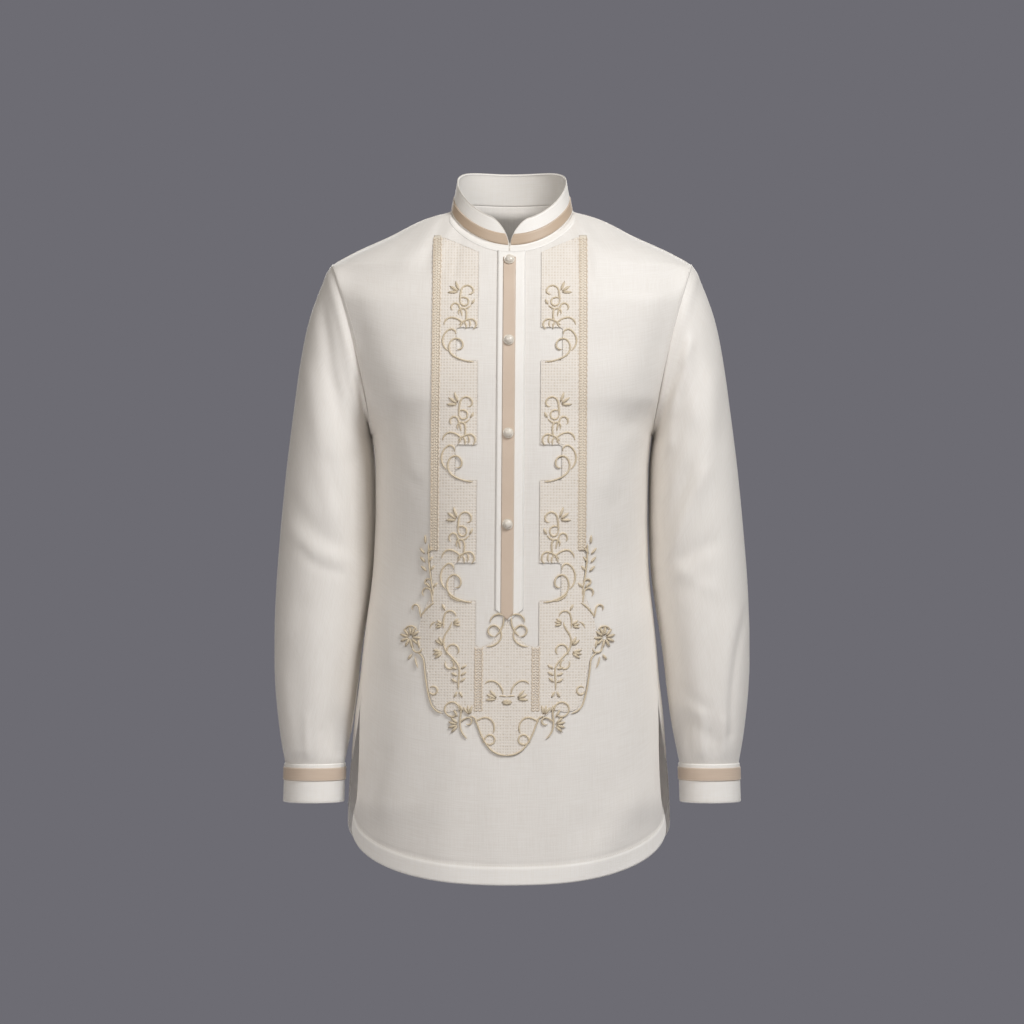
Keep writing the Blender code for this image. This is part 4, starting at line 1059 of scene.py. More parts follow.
def collar_height(turn):
    """The stand's height at an angle round the neck, less at its rounded front ends."""
    x = np.abs(NECK_HALF_WIDTH * np.sin(turn) - COLLAR_OPENING) - COLLAR_END_GAP
    left = np.clip(1 - x / COLLAR_CORNER, 0.0, COLLAR_END_LIMIT)
    full = COLLAR_HEIGHT - COLLAR_FRONT_LESS * np.maximum(np.cos(turn), 0)
    rounded = full * (1 - left**COLLAR_CORNER_POWER) ** (1 / COLLAR_CORNER_POWER)
    return np.where((np.cos(turn) < 0) | (x > COLLAR_CORNER), full, rounded)


def collar_point(turn, up, proud):
    """Points of the stand, up millimetres above the neckline; below it, the stand laps onto the front."""
    turn, up, proud = np.broadcast_arrays(turn, up, proud)
    base = neck_point(turn)
    top_y = COLLAR_TOP_Y - COLLAR_TOP_HALF_DEPTH * np.cos(turn)
    top = np.stack([COLLAR_TOP_HALF_WIDTH * np.sin(turn), top_y, base[..., 2] + COLLAR_HEIGHT], -1)
    out = unit(np.stack([np.sin(turn) / NECK_HALF_WIDTH, -np.cos(turn) / NECK_FRONT, 0 * turn], -1))
    climb = (SEAM_GAP + np.maximum(up, -COLLAR_TUCK)) / COLLAR_HEIGHT
    stand = base + (top - base) * climb[..., None] + out * proud[..., None]
    lap = np.maximum(-up, 0) * ease(np.cos(turn) / LAP_FADE)
    run = neck_point(turn + 0.01) - neck_point(turn - 0.01)
    aside = unit(np.stack([run[..., 2], -run[..., 0]], -1))
    x, z = base[..., 0] + aside[..., 0] * lap, base[..., 2] + aside[..., 1] * lap
    lapped, lapped_out = on_front(x, z, proud + LAP_PROUD)
    share = ease(lap / LAP_BLEND)[..., None]
    return stand + (lapped - stand) * share, unit(out + (lapped_out - out) * share)


def collar_turns(gap):
    """Angles round the neck, close together at the two front ends."""
    first = math.asin((COLLAR_OPENING + gap) / NECK_HALF_WIDTH)
    last = math.asin((-COLLAR_OPENING + gap) / NECK_HALF_WIDTH)
    s = np.linspace(0, 1, COLLAR_COLUMNS) ** COLLAR_CROWDING
    left, right = first + (math.pi - first) * s, 2 * math.pi - last - (math.pi - last) * s[-2::-1]
    return np.concatenate([left, right])


def collar_band(heights, proud, gap, high=COLLAR_HEIGHT):
    """A band of the stand with rows at these heights above the neckline, cut off by the rounded ends."""
    turns = collar_turns(gap)
    heights, off = np.asarray(heights)[:, None], edge_press(heights)[:, None]
    top = np.minimum(high, collar_height(turns) - 0.1)[None, :]
    low = np.minimum(heights[0], top - 1.0)
    up = low + (top - low) * (heights - heights[0]) / (heights[-1] - heights[0])
    return collar_point(turns[None, :], up, proud + off)


def edge_press(heights):
    """How far each row of a band is pressed in, at its two folded edges."""
    near = np.minimum(np.asarray(heights) - heights[0], heights[-1] - np.asarray(heights))
    return -BAND_PRESS * (1 - np.minimum(near / BAND_SOFT, 1)) ** 2


print("the collar stands", COLLAR_HEIGHT, "mm high at the back")

# %% Collar sheet
lap_rows = [-COLLAR_LAP, -7.0, -6.5, -5.8, -4.4, -3.0, -1.8, -0.9]
stand_rows = [0, 0.8, 2, 4, 7, 11, 16, 20, 24, 28, 31.5, 33.4, 34.4, COLLAR_HEIGHT]
grid, out = collar_band(lap_rows + stand_rows, 0.0, COLLAR_END_GAP)
collar = sheet("shirt_collar", grid, out, LINED_JUSI, thick=STIFFENED)
print("collar sheet:", count(collar), "triangles")


# %% Cord along the collar's edge
def tube(name, centre, out, width, height, sides, finish, taper=2.0):
    """A cord of oval section along points in space, thinner at its ends."""
    along = unit(np.gradient(centre, axis=0))
    aside = unit(np.cross(along, out))
    out = np.cross(aside, along)
    far = run_lengths(centre)
    size = np.sqrt(np.clip(np.minimum(far, far[-1] - far) / taper, 0.04, 1))[:, None, None]
    turn = (2 * np.pi * np.arange(sides) / sides)[None, :, None]
    ring = aside[:, None] * np.cos(turn) * width / 2 + out[:, None] * np.sin(turn) * height / 2
    index = np.arange(len(centre) * sides).reshape(-1, sides)
    turned = np.roll(index, -1, axis=1)
    faces = np.stack([index[:-1], index[1:], turned[1:], turned[:-1]], -1).reshape(-1, 4)
    around = np.arange(sides + 1) * math.pi * width / sides
    grid = np.stack(np.broadcast_arrays(around[None, :], far[:, None]), -1) * MM
    uv = np.stack([grid[:-1, :-1], grid[1:, :-1], grid[1:, 1:], grid[:-1, 1:]], 2).reshape(-1, 4, 2)
    return put_in_scene(name, (centre[:, None] + ring * size).reshape(-1, 3), faces.tolist(), uv, finish)


turns = collar_turns(COLLAR_END_GAP)
climb = np.linspace(-COLLAR_LAP, 2.5, EDGE_CORD_RUN)
end_turns = np.concatenate([np.full(len(climb), turns[0]), turns, np.full(len(climb), turns[-1])])
end_ups = np.concatenate([climb, collar_height(turns) - 0.1, climb[::-1]])
points, out = collar_point(end_turns, end_ups, np.full(len(end_ups), EDGE_CORD_SUNK))
collar_edge = tube("collar_edge", points, out, EDGE_CORD, EDGE_CORD, 8, SEWING)
collar = join("shirt_collar", collar, collar_edge)
print("collar:", count(collar), "triangles")

# %% [markdown]
# ## Ribbons and placket
# Narrow pieces are sewn on top: a ribbon round the collar and each cuff, and the placket down the front
# with its own ribbon. A Shrinkwrap modifier could lay them down, but the surface below is known, so each
# point is placed on it directly. Their long edges are pressed down and their middle is slightly proud, as a
# stitched tape lies.

# %% Ribbons round the collar and cuffs
RIBBON_THICK, LAID_GAP = 0.6, 0.35
CUFF_RIBBON_LOW, CUFF_RIBBON_HIGH = 26.0, 41.0
COLLAR_RIBBON_LOW, COLLAR_RIBBON_HIGH = 1.6, 14.8

cuff_ribbons = {}
for word, side in SIDES:
    heights, off = rounded_edges(CUFF_BOTTOM + CUFF_RIBBON_LOW, CUFF_BOTTOM + CUFF_RIBBON_HIGH, 0.9, 7)
    proud = CUFF_PROUD + LAID_GAP + RIBBON_THICK + off * 0.3
    grid, out = cuff_band(side, heights, proud, CUFF_OVERLAP + 1)
    cuff_ribbons[word] = sheet(f"shirt_cuff_ribbon_{word}", grid, out, RIBBON, thick=RIBBON_THICK * 0.9)
rows = np.linspace(COLLAR_RIBBON_LOW, COLLAR_RIBBON_HIGH, 12)
grid, out = collar_band(rows, LAID_GAP + RIBBON_THICK, COLLAR_END_GAP + 0.9, COLLAR_RIBBON_HIGH)
collar_ribbon = sheet("shirt_collar_ribbon", grid, out, PAINTED_SHADE_COLLAR_RIBBON, thick=RIBBON_THICK * 0.9)
print("ribbons:", count(collar_ribbon, *cuff_ribbons.values()), "triangles")

# %% Placket and its ribbon
PLACKET_ASIDE, PLACKET_WIDTH, PLACKET_TOP, PLACKET_BOTTOM, PLACKET_POINT = 1.6, 33.0, -30.0, -479.5, 13.0
PLACKET_THICK, PLACKET_PROUD, BUTTON_LINE = 1.0, LAID_GAP + 0.85, -0.8
PLACKET_RIBBON_WIDTH, PLACKET_RIBBON_POINT = 14.8, 7.5
PLACKET_RIBBON_TOP, PLACKET_RIBBON_BOTTOM, PLACKET_RIBBON_PROUD = -58.0, -478.5, 0.7
STRIP_PRESS, STRIP_FLAT = 0.35, 0.86  # the outer seventh of a strip is pressed down


def neck_height(x):
    """The height of the front neckline at a place across."""
    return neck_point(np.arcsin(np.clip(np.abs(x) / NECK_HALF_WIDTH, 0, 1)))[..., 2]


def front_strip(name, centre, width, top, bottom, proud, finish, thick, point=0.0, rows=220, columns=12):
    """A long strip down the front, with its edges pressed down, whose lower end may come to a point."""
    s = np.linspace(-1, 1, columns + 1)[None, :]
    under_collar = neck_height(centre + centre_line(top) + width / 2 * s) - COLLAR_LAP + 1.0
    top, end = np.minimum(top, under_collar), bottom + point * np.abs(s)
    z = top + (end - top) * np.linspace(1, 0, rows + 1)[:, None]
    x = centre + centre_line(z) + width / 2 * s
    edge = np.maximum(np.abs(s), 1 - np.minimum((z - end) / (width / 2), 1))
    press = proud - STRIP_PRESS * np.clip((edge - STRIP_FLAT) / (1 - STRIP_FLAT), 0, 1) ** 2
    grid, out = on_front(x, z, press + 0 * z)
    return sheet(name, grid, out, finish, thick=thick)


placket = front_strip("shirt_placket", PLACKET_ASIDE, PLACKET_WIDTH, PLACKET_TOP, PLACKET_BOTTOM,
                      PLACKET_PROUD, LINED_JUSI, PLACKET_THICK, PLACKET_POINT)
placket_ribbon = front_strip("shirt_placket_ribbon", BUTTON_LINE, PLACKET_RIBBON_WIDTH, PLACKET_RIBBON_TOP,
                             PLACKET_RIBBON_BOTTOM, PLACKET_PROUD + PLACKET_RIBBON_PROUD, RIBBON,
                             RIBBON_THICK, PLACKET_RIBBON_POINT)
print("placket:", count(placket, placket_ribbon), "triangles")

# %% [markdown]
# ## Small stitched shapes
# Two shapes do most of the needlework. A stitch is a short bead of thread that sinks in at both ends. A
# satin leaf is the same bead, wide and low. A texture could draw them, but only a shape catches the light.
# The bead is made once as a template and copied along a path, so thousands of them stay one light mesh.

# %% Stitches and leaves
BEAD_RINGS, BEAD_SIDES, BEAD_FULLNESS = 3, 4, 0.6
BEADS_APART = 10.0  # so that no two beads show the same part of the thread


def bead_template():
    """A bead from 0 to 1 along x, one unit wide and high, with its faces."""
    points = [(0.0, 0.0, 0.0)]
    for i in range(1, BEAD_RINGS + 1):
        along = i / (BEAD_RINGS + 1)
        size = math.sin(math.pi * along) ** BEAD_FULLNESS / 2
        for k in range(BEAD_SIDES):
            turn = 2 * math.pi * (k + 0.5) / BEAD_SIDES
            points.append((along, size * math.cos(turn), size * math.sin(turn)))
    points.append((1.0, 0.0, 0.0))
    last = len(points) - 1
    faces = []
    for k in range(BEAD_SIDES):
        n = (k + 1) % BEAD_SIDES
        faces.append((0, 1 + n, 1 + k, 1 + k))
        for i in range(BEAD_RINGS - 1):
            a, b = 1 + i * BEAD_SIDES, 1 + (i + 1) * BEAD_SIDES
            faces.append((a + k, a + n, b + n, b + k))
        a = 1 + (BEAD_RINGS - 1) * BEAD_SIDES
        faces.append((a + k, a + n, last, last))
    return np.array(points), np.array(faces)


def beads(name, starts, ends, outs, width, height, finish):
    """Beads from each start to each end, standing up along each outward direction."""
    template, faces = bead_template()
    far, across, high = (template[None, :, k : k + 1] for k in range(3))
    along = ends - starts
    width = np.broadcast_to(width, (len(starts),))[:, None]
    outs = unit(outs - unit(along) * np.sum(outs * unit(along), axis=-1, keepdims=True))
    aside = np.cross(outs, unit(along)) * width
    up = outs * height
    points = starts[:, None] + far * along[:, None] + across * aside[:, None] + high * up[:, None]
    index = np.arange(len(starts))[:, None]
    length = np.linalg.norm(along, axis=-1, keepdims=True)
    uv = np.stack([across[..., 0] * width, far[..., 0] * length + BEADS_APART * index], -1) * MM
    faces = (index[..., None] * len(template) + faces[None]).reshape(-1, 4)
    return put_small_faces(name, points.reshape(-1, 3), faces, uv.reshape(-1, 2), finish)


print("a bead has", len(bead_template()[1]), "faces")


def spaced(points, outs, pitch):
    """Points and outward directions at even steps along a path."""
    far = run_lengths(points)
    at = np.arange(0, far[-1], pitch)
    points, outs = (np.stack([np.interp(at, far, values[:, k]) for k in range(3)], -1)
                    for values in (points, outs))
    return points, unit(outs)


# %% [markdown]
# ## Braid
# The braid is a flat plait of slanting bundles. They lie in two pairs of rows, and each pair meets in a
# line of small points. A thin tape carries them. The same plait, narrower, stands on each side of the
# medallion. Beads laid in rows show the plait's relief, where crossing every strand would cost many more
# faces for no more to see.

# %% Braid
BRAID_CENTRE, BRAID_WIDTH, BRAID_TOP, BRAID_BOTTOM = 84.8, 8.6, -31.0, -399.0
BRAID_PITCH, BRAID_PROUD, TAPE_PROUD, TAPE_THICK = 3.2, LAID_GAP + 0.6, LAID_GAP + 0.5, 0.5
BUNDLES = ((-0.5, -0.27), (0.0, -0.25), (0.0, 0.25), (0.5, 0.27))  # where each row starts and ends across
BUNDLE_WIDTH, BUNDLE_HEIGHT = 1.35, 0.9
BRAID_CORD_WIDTH, BRAID_CORD_HEIGHT, BRAID_CORD_STEP, BRAID_WAVE = 1.2, 1.0, 1.6, 0.4


def plait(name, centre, width, top, bottom, proud):
    """Slanting bundles in mirrored rows between two thin cords, down a strip of the front."""
    z = np.arange(bottom + BRAID_PITCH, top - 0.5, BRAID_PITCH)
    starts, ends, outs = [], [], []
    for x0, x1 in BUNDLES:
        start, out = on_front(centre + centre_line(z) + width * x0, z, proud + 0 * z)
        end, _out = on_front(centre + centre_line(z) + width * x1, z - BRAID_PITCH, proud + 0 * z)
        starts.append(start)
        ends.append(end)
        outs.append(out)
    starts, ends, outs = (np.concatenate(rows) for rows in (starts, ends, outs))
    parts = [beads(name, starts, ends, outs, BUNDLE_WIDTH, BUNDLE_HEIGHT, BRAID)]
    z = np.arange(bottom, top, BRAID_CORD_STEP)
    for edge in (-0.5, 0.5):
        wave = BRAID_WAVE * np.sign(edge) * np.sin(z * 2 * np.pi / (2 * BRAID_PITCH))
        path, out = on_front(centre + centre_line(z) + width * edge + wave, z, proud + 0.1 + 0 * z)
        parts.append(tube("edge", path, out, BRAID_CORD_WIDTH, BRAID_CORD_HEIGHT, 6, BRAID))
        print(f"edge cord of {name}: {run_lengths(path)[-1]:.0f} mm")
    return join(name, *parts)


braids, tapes = {}, {}
for word, side in SIDES:
    place = (side * BRAID_CENTRE, BRAID_WIDTH, BRAID_TOP, BRAID_BOTTOM)
    tapes[word] = front_strip(f"shirt_braid_tape_{word}", *place, TAPE_PROUD, BRAID_TAPE, TAPE_THICK,
                              rows=160, columns=6)
    braids[word] = plait(f"shirt_braid_{word}", *place, BRAID_PROUD)
print("braids:", count(*braids.values(), *tapes.values()), "triangles")

# %% [markdown]
# ## The calado ground
# Under the embroidery, threads of the cloth are pulled together until it opens into a grid of tiny holes.
# Here the holes are pits with a bottom darkened by painted shade, which look the same as cut ones, because
# the cloth lies right behind them. The grid is built cell by cell: eight points on the cell's rim, eight
# round its hole,
# and one at its bottom. Points outside the panel's outline are drawn back onto it, so its edges are clean.
# A number on each point says how deep in a hole it lies, and the finish paints shade by it, darker the
# deeper.

# %% Outline of the breast panel
CELL = 44.2 / 13  # thirteen cells fit across a band
BAND_INNER, BAND_OUTER, BAND_TOP, BAND_TOP_SLOPE = 36.4, 80.4, -33.0, 19.0
NOTCHES, NOTCH_DEPTH = ((-141.0, -179.3), (-276.5, -317.2), (-412.5, -456.0)), 25.0
PECHERA = table("""
step x height
0 88.2 -418.3
1 86.1 -440.3
2 91 -455
3 98.2 -473.4
4 102.6 -491.8
5 103.3 -508.3
6 95.8 -519.3
7 92.2 -537.7
8 90.2 -556.1
9 86.5 -568.9
10 79.6 -581.4
11 67.1 -584.3
12 54.2 -581.8
13 45 -588.2
14 37.6 -591.9
15 34.8 -598.3
16 28.3 -614.8
17 17.1 -629.5
18 7.9 -633.9
19 0 -635
""")


def pechera_outline():
    """Half of the breast panel: a notched band under the collar that flares into the medallion."""
    places = np.linspace(0, 19, 81)
    points = [(BAND_OUTER, BAND_TOP), (BAND_OUTER, BRAID_BOTTOM - LAID_GAP), (88.6, BRAID_BOTTOM - 0.6)]
    points += list(zip(smooth(PECHERA, "x", places), smooth(PECHERA, "height", places)))
    points += [(0, -480), (7, -488), (11, -495.4), (18.3, -504.6), (29.2, -509.2), (BAND_INNER, -510)]
    for high, low in NOTCHES[::-1]:
        points += [(BAND_INNER, low), (BAND_INNER + NOTCH_DEPTH, low)]
        points += [(BAND_INNER + NOTCH_DEPTH, high), (BAND_INNER, high)]
    return np.array(points + [(BAND_INNER, BAND_TOP - BAND_TOP_SLOPE)])


def inside(points, outline):
    """Which points of the plane lie inside a closed outline."""
    x, z = points[..., 0], points[..., 1]
    found = np.zeros(x.shape, bool)
    for (x0, z0), (x1, z1) in zip(outline, np.roll(outline, -1, axis=0)):
        if z0 != z1:
            crosses = (z0 > z) != (z1 > z)
            found ^= crosses & (x < (x1 - x0) * (z - z0) / (z1 - z0) + x0)
    return found


def drawn_onto(points, outline):
    """The nearest place on the outline to each point."""
    best, nearest = np.full(len(points), np.inf), points.copy()
    for a, b in zip(outline, np.roll(outline, -1, axis=0)):
        run = b - a
        s = np.clip(((points - a) @ run) / max(run @ run, 1e-9), 0, 1)
        place = a + s[:, None] * run
        away = np.linalg.norm(points - place, axis=1)
        nearest = np.where((away < best)[:, None], place, nearest)
        best = np.minimum(best, away)
    return nearest


print(len(pechera_outline()), "points in the outline of the half ground")

# %% Calado cells
CELLS_OUT, CELLS_UP = np.arange(-12, 28), np.arange(-194, -4)  # the grid that holds the whole ground
CALADO_PROUD, NET_PROUD, NET_DEPTH, NET_SLOPE = LAID_GAP + 0.5, 0.25, 0.65, 1.2
HOLE_LEAST, HOLE_MOST, HOLE_REACH, HOLE_SHIFT = 0.2, 0.37, 0.62, 0.3
HOLE_RIM_DEPTH, HOLE_FLOOR_DEPTH = 0.35, (0.45, 1.0)
CENTRE_LAP = 0.3  # the two halves reach this far past the centre line
RIM_TEST, CENTRE_TEST = 0.96, 0.01  # where a cell is tested: just inside its rim, just off the centre line


def calado_cells(outline):
    """The cells' points in the plane, their depth into a hole, and the faces between them."""
    i, j = np.meshgrid(CELLS_OUT, CELLS_UP, indexing="ij")
    centres = np.stack([BAND_INNER + (i + 0.5) * CELL, (j + 0.5) * CELL], -1).reshape(-1, 2)
    turn = np.arange(8) * np.pi / 4
    rim = np.stack([np.sign(np.round(np.cos(turn), 3)), np.sign(np.round(np.sin(turn), 3))], -1) * CELL / 2
    rims = centres[:, None] + rim[None] * RIM_TEST
    rims[..., 0] = np.maximum(rims[..., 0], CENTRE_TEST)
    centres = centres[(inside(rims, outline).sum(1) >= 2) & (centres[:, 0] > -CELL / 2)]
    many = len(centres)
    rims = (centres[:, None] + rim[None]).reshape(-1, 2)
    places = np.round(rims * 20).astype(int)  # cells that touch share the points of their rims
    _places, first, shared = np.unique(places, axis=0, return_index=True, return_inverse=True)
    ring, rims = shared.reshape(many, 8), rims[first]
    stray = ~inside(rims, outline)
    rims[stray] = drawn_onto(rims[stray], outline)
    rims[:, 0] = np.where(rims[:, 0] < CENTRE_TEST, -CENTRE_LAP, rims[:, 0])
    cell_rims = rims[ring]
    middles = cell_rims.mean(1)
    spokes = cell_rims - middles[:, None]
    reach = np.linalg.norm(spokes, axis=2)
    rng = np.random.default_rng(5)
    wide = CELL * rng.uniform(HOLE_LEAST, HOLE_MOST, (many, 1))
    size = np.minimum(wide, reach * HOLE_REACH)
    holes = middles[:, None] + spokes / np.maximum(reach, 1e-6)[..., None] * size[..., None]
    whole = (np.ptp(cell_rims, axis=1) > 0.5 * CELL).all(1)
    holes += rng.uniform(-HOLE_SHIFT, HOLE_SHIFT, (many, 1, 2)) * whole[:, None, None]
    floors = rng.uniform(*HOLE_FLOOR_DEPTH, many) * whole
    points = np.concatenate([rims, holes.reshape(-1, 2), middles])
    depth = np.concatenate([np.zeros(len(rims)), np.repeat(whole * HOLE_RIM_DEPTH, 8), floors])
    base, bottom = len(rims) + np.arange(many) * 8, len(rims) + many * 8 + np.arange(many)
    faces = []
    for k in range(8):
        n = (k + 1) % 8
        faces.append(np.stack([ring[:, k], ring[:, n], base + n, base + k], -1))
        faces.append(np.stack([base + k, base + n, bottom, bottom], -1))
    return points, depth, np.concatenate(faces)


outline = pechera_outline()
plane, depth, cell_faces = calado_cells(outline)
calado = {}
for word, side in SIDES:
    proud = CALADO_PROUD + NET_PROUD - NET_DEPTH * depth**NET_SLOPE
    points, _out = on_front(centre_line(plane[:, 1]) + side * plane[:, 0], plane[:, 1], proud)
    faces = cell_faces if side < 0 else cell_faces[:, ::-1]
    calado[word] = put_small_faces(f"shirt_calado_{word}", points, faces, plane * MM, CALADO)
    # the same depth also sets the painted shade in the holes
    hole = calado[word].data.attributes.new("hole", "FLOAT", "POINT")
    hole.data.foreach_set("value", depth.astype(np.float32))
print("calado ground:", count(*calado.values()), "triangles")

# %% [markdown]
# ## Corded scrolls
# The scrolls are a twisted cord laid on the ground and sewn down. Each is drawn as a stitcher bends it: it
# sets off from a place at a heading, and turns through a few arcs of chosen length. So a curl is a plain
# curve of a chosen size, and a vine is a few gentle bends. Curls, hooks and pointed leaves are the common
# stock of this embroidery. One unit is repeated three times down each band, and the whole is mirrored, as a
# folded pattern is.

# %% The drawing
# Cords: distance out, height, heading in degrees: then the length and the bend in degrees of each arc.
# Leaves: distance out, height, length, width: then the headings of the leaves that fan out from there.
SCROLL_UNITS = ((-86.0, 1.0), (-214.7, 1.1), (-347.0, 1.17))  # top and tallness of each unit down a band
SCROLL = """
57.5 -26 88: 14 12, 19 150, 9 130
57.5 -21 150: 7 50, 21 255
54 -34 172: 11 -42
55 -42 82: 13 -16, 17 -205
51.5 -49 108: 12 -22, 17 -210
53 -51 52: 15 -42, 15 -98
62 -63 98: 12 -128, 29 -116
58.5 -52 132: 15 42, 17 160
53 -48 212: 10 88
47.5 -46 225: 10 84
56 -47 250: 9 70
60.5 -80 205: 9 -110, 20 -150, 20 -95, 24 -28
"""
SCROLL_LEAVES = """
58 -14 11 3.6: 68 32 0
45 -30 7 3: 118
"""
FLARE = """
86.5 -459 90: 13 -12, 20 -220
100 -476 86: 12 -12, 14 -200
100 -476 116: 24 34
104 -491 68: 19 -138
108.5 -508 -62: 20 -200
106 -521 -92: 14 -26
103 -517 203: 13 62, 28 -4, 20 -9, 19 -62
88.5 -557 128: 25 305
73 -488 78: 16 32, 18 160
64 -481 -78: 12 26, 15 -44, 14 -40, 12 6, 14 46, 19 -6
70 -519 88: 8 22, 24 205
62.5 -534 132: 12 -112
70.5 -526 -58: 18 -178
55 -584 108: 48 -330
52.5 -577 -93: 12 12, 12 -16, 17 -46
55 -598 124: 12 38, 17 235
37 -596 142: 10 18, 13 74, 15 66
27 -620 102: 8 24, 28 285
4 -474 42: 22 -134
4.5 -474.5 -98: 26 62
14.5 -497 -12: 25 225, 13 62, 9 44, 14 42
25.5 -552 128: 13 78, 18 64
9 -566 166: 9 38
51.5 -456.5 -4: 20 62
85.5 -450 84: 20 -4, 40 12
88.5 -437 122: 19 -300
82.5 -481 -8: 10 -84
"""
FLARE_LEAVES = """
112 -499 10 3.5: 88 50 14 -24 -62 -100 -138 -176 146 116
108.5 -517 8 3.1: -52
64 -483 8 3: 142 166 192
73 -485 8 3: 36 10 -16
72.5 -509 10 3.6: 58 34
73 -516 10 3.6: 12 -10 -34
55.5 -592 9 3.1: 62
55 -599 10 3.4: 42 14 -16 -46
42.5 -589 10 3: 102 78 54
49 -585 8 2.7: 56
10.5 -569.5 11 3.6: 48 22 -4
8 -573 10 3.5: 172 190
87.5 -443 8 3: 134 48
71 -469.5 8 3: 66
55 -535.5 8 3: 150 14
55 -543.5 8 3: 148 22
55.5 -551.5 8 3: 140 30
56 -559 8 3: -120 -62
92 -424 9 3.1: 136 44
93.5 -414 9 3.1: 130 48
94.3 -404 9 3: 128 50
94.9 -393 10 3: 88
101 -514 10 3: 82
"""
print(SCROLL.strip().count("\n") + 1, "cords are drawn for each unit")


# %% Read the drawing
def read_drawing(text):
    """Each line as its first numbers and the groups of numbers after the colon."""
    rows = []
    for line in text.strip().splitlines():
        first, rest = line.split(":")
        groups = [[float(n) for n in part.split()] for part in rest.split(",")]
        rows.append(([float(n) for n in first.split()], groups))
    return rows


print(len(read_drawing(SCROLL)), "cords in a unit,", len(read_drawing(FLARE)), "in the flare")

# %% Cords
CORD_WIDTH, CORD_HEIGHT, CORD_STEP, CORD_SIDES, CORD_TAPER = 2.0, 1.8, 0.9, 7, 5.0
CORD_PROUD, FOOT_INSET = CALADO_PROUD + 0.6, 0.6
LEAF_ROOM, LEAF_GROWTH = 1.8, 1.3  # a leaf starts 1.8 mm from its point and ends 1.3 of its lengths away
LEAF_FULLNESS, LEAF_HEIGHT = 1.2, 2.3
POSTS_CENTRE, POSTS_WIDTH, POSTS_TOP, POSTS_BOTTOM = 32.8, 8.0, -508.5, -584.0
POSTS_PROUD = CALADO_PROUD + 0.4


def bend_cord(x, height, heading, arcs):
    """The path of a cord that sets off at a heading and bends through each arc in turn."""
    path, turn = [(x, height)], math.radians(heading)
    for length, bend in arcs:
        steps = max(1, round(length / CORD_STEP))
        for _ in range(steps):
            turn += math.radians(bend) / steps / 2
            x += length / steps * math.cos(turn)
            height += length / steps * math.sin(turn)
            turn += math.radians(bend) / steps / 2
            path.append((x, height))
    return np.array(path)


def fan_of_leaves(x, height, length, width, headings):
    """The ends of the leaves round one point, and their width."""
    turns = np.radians(headings)
    along = np.stack([np.cos(turns), np.sin(turns)], -1)
    near, far = (x, height) + LEAF_ROOM * along, (x, height) + LEAF_GROWTH * length * along
    return np.column_stack([near, far, width + 0 * turns])


print(f"a curl of 48 mm that turns by 330 degrees ends at {bend_cord(0, 0, 90, [(48, -330)])[-1].round(1)}")

# %% Lay out the drawing
paths, leaves = [], []
for top, tall in SCROLL_UNITS:
    for start, arcs in read_drawing(SCROLL):
        paths.append(bend_cord(*start, arcs) * (1, tall) + (0, top))
    for place, (headings,) in read_drawing(SCROLL_LEAVES):
        leaves.append(fan_of_leaves(*place, headings) * (1, tall, 1, tall, 1) + (0, top, 0, top, 0))
for start, arcs in read_drawing(FLARE):
    paths.append(bend_cord(*start, arcs))
for place, (headings,) in read_drawing(FLARE_LEAVES):
    leaves.append(fan_of_leaves(*place, headings))
leaves = np.concatenate(leaves)
foot = np.linspace(13.3, 19, 70)  # a cord also edges the foot of the ground
foot_x, foot_height = smooth(PECHERA, "x", foot) - FOOT_INSET, smooth(PECHERA, "height", foot) + FOOT_INSET
paths.append(np.stack([foot_x, foot_height], -1))
print(len(paths), "cords and", len(leaves), "leaves on each half")

# %% Corded scrolls
scrolls = {}
for word, side in SIDES:
    cords, lengths = [], []
    for path in paths:
        x = centre_line(path[:, 1]) + side * path[:, 0]
        centre, out = on_front(x, path[:, 1], np.full(len(path), CORD_PROUD))
        cords.append(tube("cord", centre, out, CORD_WIDTH, CORD_HEIGHT, CORD_SIDES, CORDING, CORD_TAPER))
        lengths.append(run_lengths(centre)[-1])
    print(f"{word} half: {len(lengths)} cords of {min(lengths):.0f} to {max(lengths):.0f} mm, "
          f"{sum(lengths):.0f} mm in all, and {len(leaves)} leaves")
    level = np.full(len(leaves), CORD_PROUD)
    starts, out = on_front(centre_line(leaves[:, 1]) + side * leaves[:, 0], leaves[:, 1], level)
    ends, _out = on_front(centre_line(leaves[:, 3]) + side * leaves[:, 2], leaves[:, 3], level)
    satin = beads("satin", starts, ends, out, leaves[:, 4] * LEAF_FULLNESS, LEAF_HEIGHT, CORDING)
    posts = plait("posts", side * POSTS_CENTRE, POSTS_WIDTH, POSTS_TOP, POSTS_BOTTOM, POSTS_PROUD)
    scrolls[word] = join(f"shirt_scrolls_{word}", satin, posts, *cords)
print("scrolls:", count(*scrolls.values()), "triangles")

# %% [markdown]
# ## Buttons
# A button is a pearly dome set in a thin rim. It is shaped from a short cylinder, whose top is inset and
# sunk a little and whose edges are bevelled, and the dome is a flattened sphere with its lower half cut
# off. A turned profile would do as well, but this way each size can be changed alone. One is made and
# copied to every place.

# %% One button
BUTTON_RADIUS, BUTTON_EDGE, BUTTON_DOME = 6.2, 1.6, 3.3
RIM_INSET, RIM_SUNK, RIM_ROUNDED = 0.9, 0.5, 0.28
DOME_RADIUS, DOME_SUNK = 0.83 * BUTTON_RADIUS, 0.6
BUTTON_HEIGHTS, BUTTON_PROUD = (-61.6, -155.6, -263.0, -367.8), 1.0
CUFF_BUTTON_UP, CUFF_BUTTON_PROUD, CUFF_BUTTON_SIZE = 13.0, 0.3, 5.0 / 5.9  # smaller than the front ones

